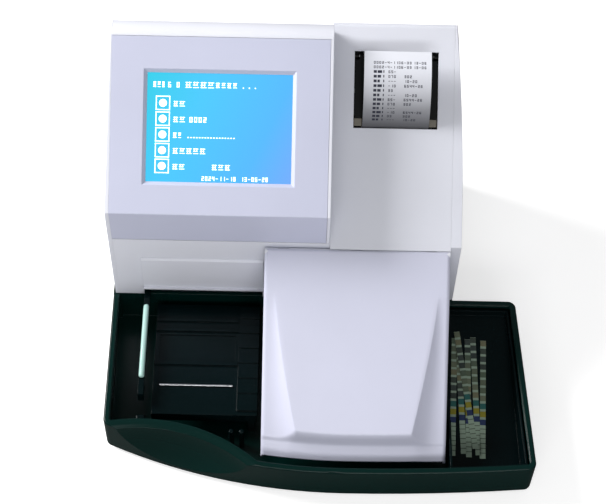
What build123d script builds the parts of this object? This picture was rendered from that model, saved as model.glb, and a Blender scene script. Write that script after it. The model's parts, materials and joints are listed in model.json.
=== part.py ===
from build123d import *
import math
import os

# Bench-top urine analyzer, millimetres. +Z is up, the front faces -Y, and the
# origin is on the table under the middle of the whole footprint.

# ---------------------------------------------------------------- overall sizes
OVERALL_W = 372.0       # left side of the case to the right corner of the tray
OVERALL_D = 338.0       # foremost point of the tray rim to the rear panel
OVERALL_H = 257.0       # table to the flat top behind the display
CASE_W = 303.0          # the case itself, over its bulged side panels
CASE_INSET = 2.0        # the case stands in from the base at the left
CASE_D = 165.0          # front wall to rear panel
FOOT_H = 4.0
WALL = 2.5              # moulded walls
JOIN = 0.3              # gap between pieces that move past each other
SEAT = 0.2              # gap round a piece that drops into another
RUN = 0.05              # radial clearance of a running shaft

X_LEFT = -OVERALL_W / 2
X_RIGHT = OVERALL_W / 2
Y_FRONT = -OVERALL_D / 2
Y_BACK = OVERALL_D / 2
CASE_LEFT = X_LEFT + CASE_INSET
CASE_RIGHT = CASE_LEFT + CASE_W
Y_WALL = Y_BACK - CASE_D

# ---------------------------------------------------------------- tray and base
RIM_Z = 46.5            # top of the tray rim above the table
FLOOR_T = 3.0
TUB_T = 3.0             # tray wall
RIM_W = 5.5             # width of the rolled rim
RIM_H = 4.0
RIM_ROUND = 1.6         # rounding of the rim's outer edge
RIM_STEP = 0.8          # fine step along its inner edge
BASE_ROUND = 2.0        # and of the base's lower edge
PAN_CORNER_R = 6.0      # rear corners of the base
DIVIDER_T = 3.0         # wall between the tray and the case
KINK_FROM_LEFT = 208.0  # the front's two arcs meet here, at its foremost point
LEFT_SWEEP = 43.2       # how far the left front corner lies behind that point
RIGHT_SWEEP = 7.7
RIGHT_TAPER = 10.4      # the right side leans inwards towards the case
CORNER_R = 7.0
SCOOP_R = 150.0         # arc of the scooped loading edge at the left front
SCOOP_X = 33.0          # its centre, right of the case's left side
SCOOP_Y = 105.0         # its centre, ahead of the rim's foremost point
SCOOP_DEPTH = 36.0
SCOOP_REACH = 21.0      # plan width of the scooped slope
SCOOP_ROLL = 5.0
FLOOR_Z = FOOT_H + FLOOR_T
CHASSIS_T = 1.5
CHASSIS_Z = FLOOR_Z + CHASSIS_T
FOOT_R = 8.0
FOOT_INSET = 26.0

# ---------------------------------------------------------------- case
FLAT_D = 36.2           # flat top behind the display, before its back leans in
BACK_LEAN = 18.0        # how far the display half's back draws in above the rear panel
BEVEL_H = 39.0
SLOPE = 32.0            # display and printer panels, from the horizontal
PRINTER_DROP = 3.2      # front edge of the printer panel below the bevel's lower edge
DISPLAY_W = 186.0
SIDE_BULGE_L = 3.4      # side panels over the edges of the top mouldings
SIDE_BULGE_R = 9.0
SIDE_LEAN_L = 2.4       # how far the panels draw in again at the top
SIDE_LEAN_R = 8.0
LEAN_RISE = 12.5        # the panels start to draw in this far above the bevel's lower edge
FRONT_EDGE_R = 8.0      # rounding where the display slope meets the flat top
BACK_EDGE_R = 20.0      # and where the flat top meets the leaning back
BEVEL_EDGE_R = 1.5
PRINTER_BACK_R = 4.0
REAR_DROP = 57.0        # top edge of the rear panel below the flat top
TOP_LEFT = CASE_LEFT + SIDE_BULGE_L
TOP_RIGHT = CASE_RIGHT - SIDE_BULGE_R
STEP_X = TOP_LEFT + DISPLAY_W
DISPLAY_TOP_Y = Y_BACK - FLAT_D
BEVEL_TOP_Z = OVERALL_H - (DISPLAY_TOP_Y - Y_WALL) * math.tan(math.radians(SLOPE))
SEAM_Z = BEVEL_TOP_Z - BEVEL_H
PRINTER_Z = SEAM_Z - PRINTER_DROP
LEAN_START_Z = SEAM_Z + LEAN_RISE
REAR_TOP_Z = OVERALL_H - REAR_DROP
SEAM_GAP = 0.8          # open seams between the mouldings

# ---------------------------------------------------------------- display
FASCIA_T = 3.0
FASCIA_STRIP = 2.5      # white strip left at the right of the fascia
SCREEN_W = 122.0
SCREEN_H = 91.5
SCREEN_X = 91.2         # screen centre from the fascia's left edge
SCREEN_LOW = 2.4391     # and below the middle of the slope
SCREEN_BEVEL = 3.0
GLASS_T = 1.8
LCD_W = 148.0
LCD_H = 112.0
LCD_T = 9.0
BOARD_T = 1.6

# ---------------------------------------------------------------- printer
POCKET_W = 72.0
POCKET_L = 66.0
POCKET_BACK = 27.5644     # the pocket's upper edge, down the slope from the back
POCKET_IN = 50.0        # its middle, in from the printer panel's right edge
POCKET_DEPTH = 44.0
POCKET_BACK_DEPTH = 20.0
DOOR_L = 57.0           # black part of the door
DOOR_T = 2.5
DOOR_SINK = 1.5         # door face below the printer panel
SLOT_W = 1.6
DOOR_PIN_R = 1.5
DOOR_BARREL_R = 3.0
PAPER_W = 57.0
PAPER_T = 0.4
PAPER_RISE = 17.0
ROLL_R = 17.0
ROLL_CORE_R = 6.0
PLATEN_R = 5.0
PLATEN_SHAFT_R = 2.0
GEAR_R = 7.0
GEAR_TEETH = 18

# ---------------------------------------------------------------- front cover
COVER_W = 159.5
COVER_BARREL_R = 3.0
COVER_PIN_R = 1.25
BEND_FRONT = 32.3       # bend behind the foremost rim point
BEND_RISE = 5.6         # and above the rim
COVER_EDGE_Y = 18.5     # lower edge behind the foremost rim point
COVER_EDGE_Z = 31.0
COVER_LIP_Z = 45.5
COVER_LIP_Y = 29.5
DIP = 7.0               # side areas lie this far below the raised middle
DIP_L = 118.0
FOOT_IN_L = 30.2        # raised middle at the bend, from the left edge
FOOT_IN_R = 31.2        # and from the right edge
APEX_IN = 10.0
LUG_W = 8.0
LUG_R = 2.2
SKIRT_Z = 56.0          # lower edge of the side skirts

# ---------------------------------------------------------------- strip path
DECK_Z = 38.0           # top of the plate that the strips lie over
DECK_T = 2.5
RAIL_H = 2.0
RIB_W = 3.0
SLIDE_R = 0.9
PLATFORM_LEFT = 40.0    # from the case's left side
PLATFORM_FRONT = 57.0   # from the foremost rim point
GATE_W = 18.0
RIB_SHARES = (48 / 116, 82 / 116, 92 / 116)  # cross ribs, as shares of the platform's depth
SLIDE_SHARE = 28 / 116      # and the bright rail
SINK_MARGIN = 3.0
STRIP_L = 110.0
STRIP_W = 5.0
STRIP_T = 0.3
PAD_T = 0.5
PAD_L = 5.0
PAD_PITCH = 7.4
PADS = 11

# ---------------------------------------------------------------- pusher
PUSHER_X = 31.0         # parked rod, from the case's left side
ROD_R = 2.5
ROD_BACK = 16.0         # rod's ends, ahead of the front wall
ROD_FRONT = 16.0        # and behind the arm's front end
ARM_W = 5.0
ARM_H = 5.0
ARM_Z = 48.2
ARM_FRONT = 37.0968     # arm's front end behind the tray's front line
SLOT_H = 14.0           # slot under the hood
HOOD_FROM_LEFT = 28.0
HOOD_DROP = 29.5        # hood's top below the bevel's lower edge
HOOD_PROUD = 2.0
GUIDE_R = 3.0
GUIDE_Z = 62.0
GUIDE_IN = 10.0         # front guide rod behind the front wall's face
GUIDE_STEP = 20.0       # and the rear one behind it
CARRIAGE_W = 24.0
PULLEY_R = 7.0
BELT_T = 1.2
BELT_W = 6.0
MOTOR_W = 42.0

# ---------------------------------------------------------------- conveyor
RAKE_TRAVEL = 24.0
RAKE_FINGERS = 5
RAKE_PITCH = 24.0
ROW_FRONT = 24.0        # first of the three rows of fingers, behind the deck's front edge
ROW_BACK = 20.0         # and the last one, ahead of the front wall
RAKE_Z = 26.0           # underside of the rake's plates
RAKE_PLATE_T = 2.5
RAKE_ARM_W = 10.0
FINGER_W = 3.0
FINGER_UP = 2.5         # fingers above the deck
PINION_R = 8.0
PINION_TEETH = 16
RACK_REACH = 5.2        # rack teeth, behind the rake bar's middle

# ---------------------------------------------------------------- optics
HEAD_RIGHT = 111.8      # head's middle, from the cover's left side
HEAD_W = 36.0
HEAD_D = 28.0
HEAD_Z = 43.0
HEAD_H = 20.0
HEAD_IN = 26.0          # parked head's middle, ahead of the front wall
OPTIC_RAIL_R = 3.0
OPTIC_RAIL_Z = 52.0
SCREW_R = 2.5

# ---------------------------------------------------------------- waste bin
BIN_T = 1.8
BIN_LEFT_GAP = 3.0      # clear of the cover's right side
BIN_TOP_Z = 41.0
BIN_FRONT_Z = 10.0
BIN_BACK_Z = 35.0
BIN_CLEAR = 1.0
BIN_ENTRY_Z = 34.0
STRIPS_AHEAD = 1.5          # spent strips lie this far ahead of the bin's middle
STRIP_PLACES = ((5.0, 0.0, -2.0, 0), (11.5, 2.0, 1.6, 0), (18.0, -1.0, -0.6, 0),
                (24.6, 1.0, 1.2, 0), (31.0, -2.0, -1.8, 0), (16.0, 6.0, 7.5, 1))   # x, y, turn, layer

# ---------------------------------------------------------------- rear
INLET_X = 38.0          # from the case's left side
INLET_RISE = 31.5       # sockets above the rim
INLET_W = 27.0
INLET_H = 20.0
SWITCH_STEP = 34.0      # inlet to switch
SWITCH_W = 19.0
SWITCH_H = 13.0
SWITCH_TILT = 7.0
FUSE_STEP = 27.0        # switch to fuse
FUSE_R = 6.0
PORTS_IN = ((109.0, 31.0, 13.0), (67.0, 31.0, 13.0), (34.0, 14.0, 7.5))     # in from the right, size
BOSS_W = 8.0            # blocks that the panel's screws bite into
BOSS_D = 8.0
SCREW_HOLE_R = 1.2
SCREW_HEAD_R = 2.6
SCREW_SINK = 2.2
SCREW_IN = 8.0          # screws from the panel's lower and upper edges
MAIN_BOARD_W = 154.0
MAIN_BOARD_H = 70.0
MAIN_BOARD_CHIPS = ((52, 48, 28, 28, 3), (96, 54, 20, 14, 2.5),
                    (126, 44, 24, 10, 2.5), (18, 40, 12, 30, 5))    # x, z, width, height, thickness
SUPPLY_W = 100.0
SUPPLY_D = 64.0


# ================================================================ shape helpers
def block(x0, x1, y0, y1, z0, z1):
    """Box between two corners."""
    return Pos((x0 + x1) / 2, (y0 + y1) / 2, (z0 + z1) / 2) * Box(x1 - x0, y1 - y0, z1 - z0)


def rod_x(x0, x1, y, z, radius):
    return Pos((x0 + x1) / 2, y, z) * Rot(0, 90, 0) * Cylinder(radius, x1 - x0)


def rod_y(x, y0, y1, z, radius):
    return Pos(x, (y0 + y1) / 2, z) * Rot(90, 0, 0) * Cylinder(radius, y1 - y0)


def rod_z(x, y, z0, z1, radius):
    return Pos(x, y, (z0 + z1) / 2) * Cylinder(radius, z1 - z0)


def joined(shapes):
    """One shape from overlapping ones."""
    total = shapes[0]
    for shape in shapes[1:]:
        total = total + shape
    return total


def group(shapes):
    """Separate solids under one name."""
    return Compound(children=list(shapes))


def inset(corners, distance):
    """Convex outline of (point, radius) corners, moved inwards all round."""
    moved = []
    count = len(corners)
    area = sum(corners[i][0][0] * corners[(i + 1) % count][0][1]
               - corners[(i + 1) % count][0][0] * corners[i][0][1] for i in range(count))
    side = 1.0 if area > 0 else -1.0
    for i, (point, radius) in enumerate(corners):
        before = corners[i - 1][0]
        after = corners[(i + 1) % count][0]
        edge_in = Vector(point[0] - before[0], point[1] - before[1]).normalized()
        edge_out = Vector(after[0] - point[0], after[1] - point[1]).normalized()
        normal_in = Vector(-edge_in.Y, edge_in.X) * side
        normal_out = Vector(-edge_out.Y, edge_out.X) * side
        reach = distance / (1 + normal_in.dot(normal_out))
        shift = (normal_in + normal_out) * reach
        moved.append(((point[0] + shift.X, point[1] + shift.Y), max(radius - distance, 0)))
    return moved


def outline(corners):
    """Flat face through (point, radius) corners, each rounded by its radius."""
    starts, ends, middles = [], [], []
    count = len(corners)
    for i, (point, radius) in enumerate(corners):
        corner = Vector(*point)
        to_before = (Vector(*corners[i - 1][0]) - corner).normalized()
        to_after = (Vector(*corners[(i + 1) % count][0]) - corner).normalized()
        half = math.acos(max(-1.0, min(1.0, to_before.dot(to_after)))) / 2
        cut = radius / math.tan(half)
        starts.append(corner + to_before * cut)
        ends.append(corner + to_after * cut)
        bisector = (to_before + to_after).normalized()
        middles.append(corner + bisector * (radius / math.sin(half) - radius))
    edges = []
    for i, (_, radius) in enumerate(corners):
        if radius > 0:
            edges.append(ThreePointArc(starts[i], middles[i], ends[i]))
        edges.append(Line(ends[i], starts[(i + 1) % count]))
    return make_face(Wire(edges))


def prism_x(corners, x0, x1):
    """(y, z) outline run along X."""
    return extrude(Plane((x0, 0, 0), x_dir=(0, 1, 0), z_dir=(1, 0, 0)) * outline(corners), x1 - x0)


def prism_z(face, z0, z1):
    return extrude(Pos(0, 0, z0) * face, z1 - z0)


def gear(radius, teeth, width, bore):
    """Spur gear with blunt teeth along Z, from z = 0 up."""
    tooth_h = radius * 2.2 / teeth
    body = Pos(0, 0, width / 2) * Cylinder(radius - tooth_h, width)
    tooth_w = math.pi * radius / teeth
    tooth = block(radius - tooth_h - 0.6, radius, -tooth_w / 2, tooth_w / 2, 0, width)
    body = joined([body] + [Rot(0, 0, 360 * i / teeth) * tooth for i in range(teeth)])
    return body - Pos(0, 0, width / 2) * Cylinder(bore, width * 2)


def screw(radius, length):
    """Pan-head screw along -Z with its seat at z = 0 and a cross recess."""
    head = Pos(0, 0, radius * 0.6) * Cylinder(radius * 1.9, radius * 1.2)
    slot = Box(radius * 2.2, radius * 0.5, radius * 1.2)
    recess = Pos(0, 0, radius * 1.2) * (slot + Rot(0, 0, 90) * slot)
    return head - recess + Pos(0, 0, -length / 2) * Cylinder(radius, length)


# ================================================================ main planes
def slope_frame(z_at_wall, slope):
    """Frame on a sloped panel: x right, y up the slope, z out of the panel."""
    tilt = math.radians(slope)
    return Plane((0, Y_WALL, z_at_wall), x_dir=(1, 0, 0),
                 z_dir=(0, -math.sin(tilt), math.cos(tilt)))


def height_on(z_at_wall, slope, y):
    return z_at_wall + (y - Y_WALL) * math.tan(math.radians(slope))


BEND = (Y_FRONT + BEND_FRONT, RIM_Z + BEND_RISE)
COVER_SLOPE = math.degrees(math.atan2(PRINTER_Z - BEND[1], Y_WALL - BEND[0]))
COVER_BEND_L = math.hypot(PRINTER_Z - BEND[1], Y_WALL - BEND[0])
DISPLAY_FRAME = slope_frame(BEVEL_TOP_Z, SLOPE)
PRINTER_FRAME = slope_frame(PRINTER_Z, SLOPE)
COVER_FRAME = slope_frame(PRINTER_Z, COVER_SLOPE)
DISPLAY_L = (OVERALL_H - BEVEL_TOP_Z) / math.sin(math.radians(SLOPE))
SCREEN_UP = DISPLAY_L / 2 - SCREEN_LOW


def on_frame(frame, shape):
    return Location(frame) * shape


def frame_point(frame, x, y, z):
    return frame.from_local_coords((x, y, z))


def display_outline(z_low):
    """(y, z) side view of the display half."""
    turn = math.pi / 2 - math.atan2(BACK_LEAN, REAR_DROP)
    flat = FLAT_D - BACK_LEAN - FRONT_EDGE_R * math.tan(math.radians(SLOPE / 2))
    back_r = min(BACK_EDGE_R, 0.97 * flat / math.tan(turn / 2))
    return [((Y_WALL, z_low), 0), ((Y_WALL, BEVEL_TOP_Z), BEVEL_EDGE_R),
            ((DISPLAY_TOP_Y, OVERALL_H), FRONT_EDGE_R),
            ((Y_BACK - BACK_LEAN, OVERALL_H), back_r), ((Y_BACK, REAR_TOP_Z), 0),
            ((Y_BACK, z_low), 0)]


def printer_outline(z_low):
    """(y, z) side view of the printer half."""
    back_z = height_on(PRINTER_Z, SLOPE, Y_BACK)
    return [((Y_WALL, z_low), 0), ((Y_WALL, PRINTER_Z), 0),
            ((Y_BACK, back_z), PRINTER_BACK_R), ((Y_BACK, z_low), 0)]


# ================================================================ tray and base
def arc_through(dx, drop):
    """Radius of an arc that falls by drop over dx from its summit."""
    return (dx * dx + drop * drop) / (2 * drop)


KINK_X = X_LEFT + KINK_FROM_LEFT
LEFT_R = arc_through(KINK_FROM_LEFT, LEFT_SWEEP)
RIGHT_R = arc_through(X_RIGHT - KINK_X, RIGHT_SWEEP)
SCOOP_CENTRE = (X_LEFT + SCOOP_X, Y_FRONT - SCOOP_Y)


def front_line_y(x, back):
    """Y of the front outline at x, moved back by a distance."""
    radius = LEFT_R if x < KINK_X else RIGHT_R
    return Y_FRONT + radius - math.sqrt((radius - back) ** 2 - (x - KINK_X) ** 2)


def right_line_x(y, inwards):
    """X of the tray's right side at y, moved inwards."""
    run = Y_WALL - (Y_FRONT + RIGHT_SWEEP)
    lean = math.hypot(run, RIGHT_TAPER) / run
    return X_RIGHT - RIGHT_TAPER * (y - Y_FRONT - RIGHT_SWEEP) / run - inwards * lean


def tray_face(back):
    """Plan of the tray, every side moved inwards by one distance."""
    left = X_LEFT + back
    y_rear = Y_WALL - back
    x_front = right_line_x(Y_FRONT + RIGHT_SWEEP + back, back)
    x_rear = right_line_x(y_rear, back)
    left_y = front_line_y(left, back)
    right_y = front_line_y(x_front, back)
    mid_l = (left + KINK_X) / 2
    mid_r = (x_front + KINK_X) / 2
    edges = [
        ThreePointArc((left, left_y), (mid_l, front_line_y(mid_l, back)), (KINK_X, Y_FRONT + back)),
        ThreePointArc((KINK_X, Y_FRONT + back), (mid_r, front_line_y(mid_r, back)), (x_front, right_y)),
        Line((x_front, right_y), (x_rear, y_rear)),
        Line((x_rear, y_rear), (left, y_rear)),
        Line((left, y_rear), (left, left_y))]
    return make_face(Wire(edges))


def tray_prism(back, z0, z1):
    solid = prism_z(tray_face(back), z0, z1)
    radius = max(CORNER_R - back, 1.0)
    corners = solid.edges().filter_by(Axis.Z)
    outer = [e for e in corners if abs(e.center().X - KINK_X) > 1 and e.center().Y < Y_WALL - back - 1]
    right = [e for e in corners if e.center().X > CASE_RIGHT and e.center().Y > Y_WALL - back - 1]
    return fillet(outer + right, radius)


def scoop_zone(grow):
    """Everything ahead of the loading edge, for clearing or keeping."""
    return rod_z(SCOOP_CENTRE[0], SCOOP_CENTRE[1], 0, OVERALL_H, SCOOP_R + grow)


def scoop_cutter():
    """Dished slope of the loading edge, turned about a vertical axis."""
    foot = (SCOOP_R - SCOOP_REACH, RIM_Z - SCOOP_DEPTH)
    lip = (SCOOP_R - SCOOP_ROLL, RIM_Z - 2.0)
    belly = (SCOOP_R - SCOOP_REACH * 0.58, RIM_Z - SCOOP_DEPTH * 0.66)
    edges = [
        ThreePointArc((SCOOP_R, RIM_Z), (SCOOP_R - SCOOP_ROLL * 0.45, RIM_Z - 0.5), lip),
        ThreePointArc(lip, belly, foot),
        Line(foot, (foot[0] - 40, foot[1])),
        Line((foot[0] - 40, foot[1]), (foot[0] - 40, RIM_Z + 10)),
        Line((foot[0] - 40, RIM_Z + 10), (SCOOP_R, RIM_Z + 10)),
        Line((SCOOP_R, RIM_Z + 10), (SCOOP_R, RIM_Z))]
    profile = Plane.XZ * make_face(Wire(edges))
    return Pos(SCOOP_CENTRE[0], SCOOP_CENTRE[1], 0) * revolve(profile, Axis.Z, 360)


def base_tray():
    tub = tray_prism(0, FOOT_H, RIM_Z)
    tub = fillet(tub.faces().sort_by(Axis.Z)[0].edges(), BASE_ROUND)
    tub = fillet(tub.faces().sort_by(Axis.Z)[-1].edges(), RIM_ROUND)
    room = tray_prism(TUB_T, FLOOR_Z, RIM_Z - RIM_H) + tray_prism(RIM_W, RIM_Z - RIM_H - 1, RIM_Z + 1)
    room = room + tray_prism(RIM_W - RIM_STEP, RIM_Z - RIM_STEP, RIM_Z + 1)
    tub = tub - (room - scoop_zone(TUB_T)) - scoop_cutter()
    pan = block(X_LEFT, CASE_RIGHT, Y_WALL - BASE_ROUND - 0.2, Y_BACK, FOOT_H, RIM_Z)
    pan = fillet(pan.edges().filter_by(Axis.Z).group_by(Axis.Y)[-1], PAN_CORNER_R)
    low_edges = pan.faces().sort_by(Axis.Z)[0].edges()
    pan = fillet([e for e in low_edges if e.center().Y > Y_WALL], BASE_ROUND)
    pan_room = block(X_LEFT + TUB_T, CASE_RIGHT - TUB_T, Y_WALL + DIVIDER_T, Y_BACK - TUB_T, FLOOR_Z, RIM_Z + 1)
    pan = pan - block(X_LEFT + TUB_T, CASE_RIGHT - TUB_T, Y_WALL - 5, Y_WALL, FLOOR_Z, RIM_Z + 1)
    base = tub - block(X_LEFT + RIM_W, CASE_RIGHT - TUB_T, Y_WALL - RIM_W - 1, Y_WALL, FLOOR_Z, RIM_Z + 1)
    base = base + pan - pan_room
    for x in RAKE_SLOTS_X:
        base = base - block(x, x + RAKE_ARM_W + RAKE_TRAVEL + 2, Y_WALL - 2, Y_WALL + DIVIDER_T + 1,
                            RAKE_Z - 1, RAKE_Z + RAKE_PLATE_T + 1)
    base = base - rod_y(HEAD_X, Y_WALL - 2, Y_WALL + DIVIDER_T + 1, OPTIC_RAIL_Z, 12.0)
    bosses, holes = screw_bosses(panel_screw_places(LOW_SCREW_Z), FLOOR_Z - 1, RIM_Z + 15)
    for boss in bosses:
        base = base + boss
    for hole in holes:
        base = base - hole
    return base


def feet_places():
    return [(X_LEFT + FOOT_INSET, Y_WALL - 92), (X_RIGHT - FOOT_INSET - 6, Y_FRONT + FOOT_INSET + 6),
            (X_LEFT + FOOT_INSET, Y_BACK - FOOT_INSET), (CASE_RIGHT - FOOT_INSET, Y_BACK - FOOT_INSET)]


def rubber_feet():
    feet = []
    for x, y in feet_places():
        foot = rod_z(x, y, 0, FOOT_H, FOOT_R)
        feet.append(chamfer(foot.edges().group_by(Axis.Z)[0], 0.8))
    return group(feet)


def chassis_plate():
    """Vented steel plate on the floor of the rear pan."""
    plate = block(X_LEFT + TUB_T + 2, CASE_RIGHT - TUB_T - 2, Y_WALL + DIVIDER_T + 2,
                  Y_BACK - TUB_T - BOSS_D - 1, FLOOR_Z, CHASSIS_Z)
    for i in range(7):
        x = X_LEFT + 60 + i * 30
        plate = plate - block(x, x + 16, Y_BACK - 32, Y_BACK - 28, FLOOR_Z - 1, CHASSIS_Z + 1)
    return plate


LOW_SCREW_Z = RIM_Z + SCREW_IN
HIGH_SCREW_Z = REAR_TOP_Z - SCREW_IN


def panel_screw_places(z):
    return [(x, z) for x in (TOP_LEFT + 12, (TOP_LEFT + STEP_X) / 2, TOP_RIGHT - 6)]


def screw_bosses(places, z0, z1):
    """Blocks behind the rear panel that its screws bite into."""
    bosses = [block(x - BOSS_W / 2, x + BOSS_W / 2, Y_BACK - TUB_T - BOSS_D, Y_BACK - TUB_T, z0, z1)
              for x, _ in places]
    holes = [rod_y(x, Y_BACK - TUB_T - BOSS_D - 1, Y_BACK, z, SCREW_HOLE_R) for x, z in places]
    return bosses, holes


# ================================================================ case panels
def side_panel(outer_x, bulge, lean, corners, z_top):
    """Bulged side moulding, hollow towards the case, with a flat rear edge."""
    sign = 1 if outer_x > 0 else -1
    rise = z_top - LEAN_START_Z
    radius = arc_through(rise, lean)
    half = rise / 2
    mid = outer_x - sign * (radius - math.sqrt(radius * radius - half * half))
    inner = outer_x - sign * bulge

    def body(depth, edge):
        shift = sign * depth
        face = make_face(Wire([
            Line((inner, RIM_Z + edge), (outer_x - shift, RIM_Z + edge)),
            Line((outer_x - shift, RIM_Z + edge), (outer_x - shift, LEAN_START_Z)),
            ThreePointArc((outer_x - shift, LEAN_START_Z), (mid - shift, LEAN_START_Z + half),
                          (outer_x - shift - sign * lean, z_top)),
            Line((outer_x - shift - sign * lean, z_top), (inner - sign * 20, z_top)),
            Line((inner - sign * 20, z_top), (inner - sign * 20, RIM_Z + edge)),
            Line((inner - sign * 20, RIM_Z + edge), (inner, RIM_Z + edge))]))
        run = extrude(Plane((0, Y_BACK + 1, 0), x_dir=(1, 0, 0), z_dir=(0, -1, 0)) * face, CASE_D + 2)
        near, far = sorted((inner, outer_x + sign * 5))
        return run & prism_x(inset(corners, edge) if edge else corners, near, far)

    return body(0, 0) - body(WALL, WALL)


def side_panel_left():
    return side_panel(CASE_LEFT, SIDE_BULGE_L, SIDE_LEAN_L, display_outline(RIM_Z), OVERALL_H)


def side_panel_right():
    z_top = height_on(PRINTER_Z, SLOPE, Y_BACK)
    return side_panel(CASE_RIGHT, SIDE_BULGE_R, SIDE_LEAN_R, printer_outline(RIM_Z), z_top)


def front_wall():
    """Wall over the tray: strip slot, hinge lugs and the optics passages."""
    left = block(TOP_LEFT, STEP_X, Y_WALL, Y_WALL + DIVIDER_T, RIM_Z, SEAM_Z - SEAM_GAP)
    right = block(STEP_X, TOP_RIGHT, Y_WALL, Y_WALL + DIVIDER_T, RIM_Z, PRINTER_Z - WALL - 2.5)
    wall = left + right
    wall = wall - block(X_LEFT + HOOD_FROM_LEFT, COVER_LEFT - 2, Y_WALL - 1, Y_WALL + DIVIDER_T + 1,
                        RIM_Z - 1, RIM_Z + SLOT_H)
    wall = wall - rod_y(HEAD_X, Y_WALL - 1, Y_WALL + DIVIDER_T + 1, OPTIC_RAIL_Z, SCREW_R + RUN)
    for x in (HEAD_X - HEAD_W / 2 + 6, HEAD_X + HEAD_W / 2 - 6):
        wall = wall - rod_y(x, Y_WALL - 1, Y_WALL + DIVIDER_T + 1, OPTIC_RAIL_Z, OPTIC_RAIL_R)
    lugs = []
    for x in HINGE_LUGS:
        web = block(x, x + LUG_W, HINGE_Y, Y_WALL + 1, HINGE_Z - LUG_R, HINGE_Z - SEAT)
        lugs.append(web + rod_x(x, x + LUG_W, HINGE_Y, HINGE_Z, LUG_R))
    wall = joined([wall] + lugs)
    return wall - rod_x(COVER_LEFT, COVER_RIGHT, HINGE_Y, HINGE_Z, COVER_PIN_R)


def strip_hood():
    """Raised plate over the strip slot, with a turned-out lower lip."""
    x0 = X_LEFT + HOOD_FROM_LEFT
    plate = block(x0, COVER_LEFT - 1, Y_WALL - HOOD_PROUD, Y_WALL, RIM_Z + SLOT_H, SEAM_Z - HOOD_DROP)
    plate = chamfer(plate.edges().group_by(Axis.Y)[0].sort_by(Axis.Z)[-1:], HOOD_PROUD * 0.9)
    lip = block(x0, COVER_LEFT - 1, Y_WALL - HOOD_PROUD - 2, Y_WALL, RIM_Z + SLOT_H, RIM_Z + SLOT_H + 2)
    return plate + lip


def display_housing():
    outer = prism_x(display_outline(SEAM_Z), TOP_LEFT, STEP_X)
    inner = prism_x(inset(display_outline(SEAM_Z - WALL), WALL), TOP_LEFT - 5, STEP_X - WALL)
    hood = outer - inner
    window = block(TOP_LEFT - 5, STEP_X - FASCIA_STRIP, -60, DISPLAY_L - FRONT_EDGE_R * 0.3, -12, 5)
    hood = hood - on_frame(DISPLAY_FRAME, window)
    hood = hood - block(TOP_LEFT - 5, STEP_X - FASCIA_STRIP, Y_WALL - 1, Y_WALL + 8, SEAM_Z - 1, BEVEL_TOP_Z + 1)
    ledge = block(TOP_LEFT, STEP_X - FASCIA_STRIP + 1, DISPLAY_L - 12, DISPLAY_L + 2,
                  -FASCIA_T - WALL, -FASCIA_T)
    ledge = on_frame(DISPLAY_FRAME, ledge) & outer
    low_back = block(TOP_LEFT - 1, STEP_X + 1, Y_BACK - WALL - 1, Y_BACK + 1, SEAM_Z - 1,
                     REAR_TOP_Z + SEAM_GAP / 2)
    hood = hood - low_back + ledge
    return with_bosses(hood, outer, panel_screw_places(HIGH_SCREW_Z)[:2])


def with_bosses(hood, outer, places):
    """Hood with screw blocks that hang from its back wall, inside its outer form."""
    bosses, holes = screw_bosses(places, REAR_TOP_Z - 15, REAR_TOP_Z + 8)
    for (x, _), boss in zip(places, bosses):
        tie = block(x - BOSS_W / 2, x + BOSS_W / 2, Y_BACK - TUB_T - 1, Y_BACK - 1,
                    REAR_TOP_Z + SEAM_GAP / 2, REAR_TOP_Z + 8)
        hood = hood + boss + (tie & outer)
    for hole in holes:
        hood = hood - hole
    return hood


def display_fascia():
    """Inset panel over the slope and the bevel, with the screen opening."""
    x0 = TOP_LEFT
    x1 = STEP_X - FASCIA_STRIP - SEAT
    outer = prism_x(display_outline(SEAM_Z), x0, x1)
    inner = prism_x(inset(display_outline(SEAM_Z - FASCIA_T), FASCIA_T), x0 - 1, x1 + 1)
    shell = outer - inner
    keep = on_frame(DISPLAY_FRAME, block(x0, x1, -60, DISPLAY_L - FRONT_EDGE_R * 0.3 - SEAT, -60, 5))
    shell = shell & keep
    shell = shell - block(x0 - 1, x1 + 1, Y_WALL + 7.8, Y_BACK + 1, SEAM_Z - 1, BEVEL_TOP_Z - 1)
    u0 = SCREEN_U - SCREEN_W / 2
    u1 = SCREEN_U + SCREEN_W / 2
    v0 = SCREEN_UP - SCREEN_H / 2
    v1 = SCREEN_UP + SCREEN_H / 2
    opening = block(u0, u1, v0, v1, -FASCIA_T - 1, 1)
    grow = SCREEN_BEVEL
    mouth = loft([Pos(SCREEN_U, SCREEN_UP, -FASCIA_T + 0.6) * Rectangle(SCREEN_W, SCREEN_H),
                  Pos(SCREEN_U, SCREEN_UP, 0.01) * Rectangle(SCREEN_W + 2 * grow, SCREEN_H + 2 * grow)])
    return shell - on_frame(DISPLAY_FRAME, opening) - on_frame(DISPLAY_FRAME, mouth)


def touch_panel():
    margin = 4.0
    glass = block(SCREEN_U - SCREEN_W / 2 - margin, SCREEN_U + SCREEN_W / 2 + margin,
                  SCREEN_UP - SCREEN_H / 2 - margin, SCREEN_UP + SCREEN_H / 2 + margin,
                  -FASCIA_T - GLASS_T, -FASCIA_T)
    return on_frame(DISPLAY_FRAME, glass)


def lcd_module():
    top = -FASCIA_T - GLASS_T
    body = block(SCREEN_U - LCD_W / 2, SCREEN_U + LCD_W / 2, SCREEN_UP - LCD_H / 2, SCREEN_UP + LCD_H / 2,
                 top - LCD_T, top)
    return on_frame(DISPLAY_FRAME, body)


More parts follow.
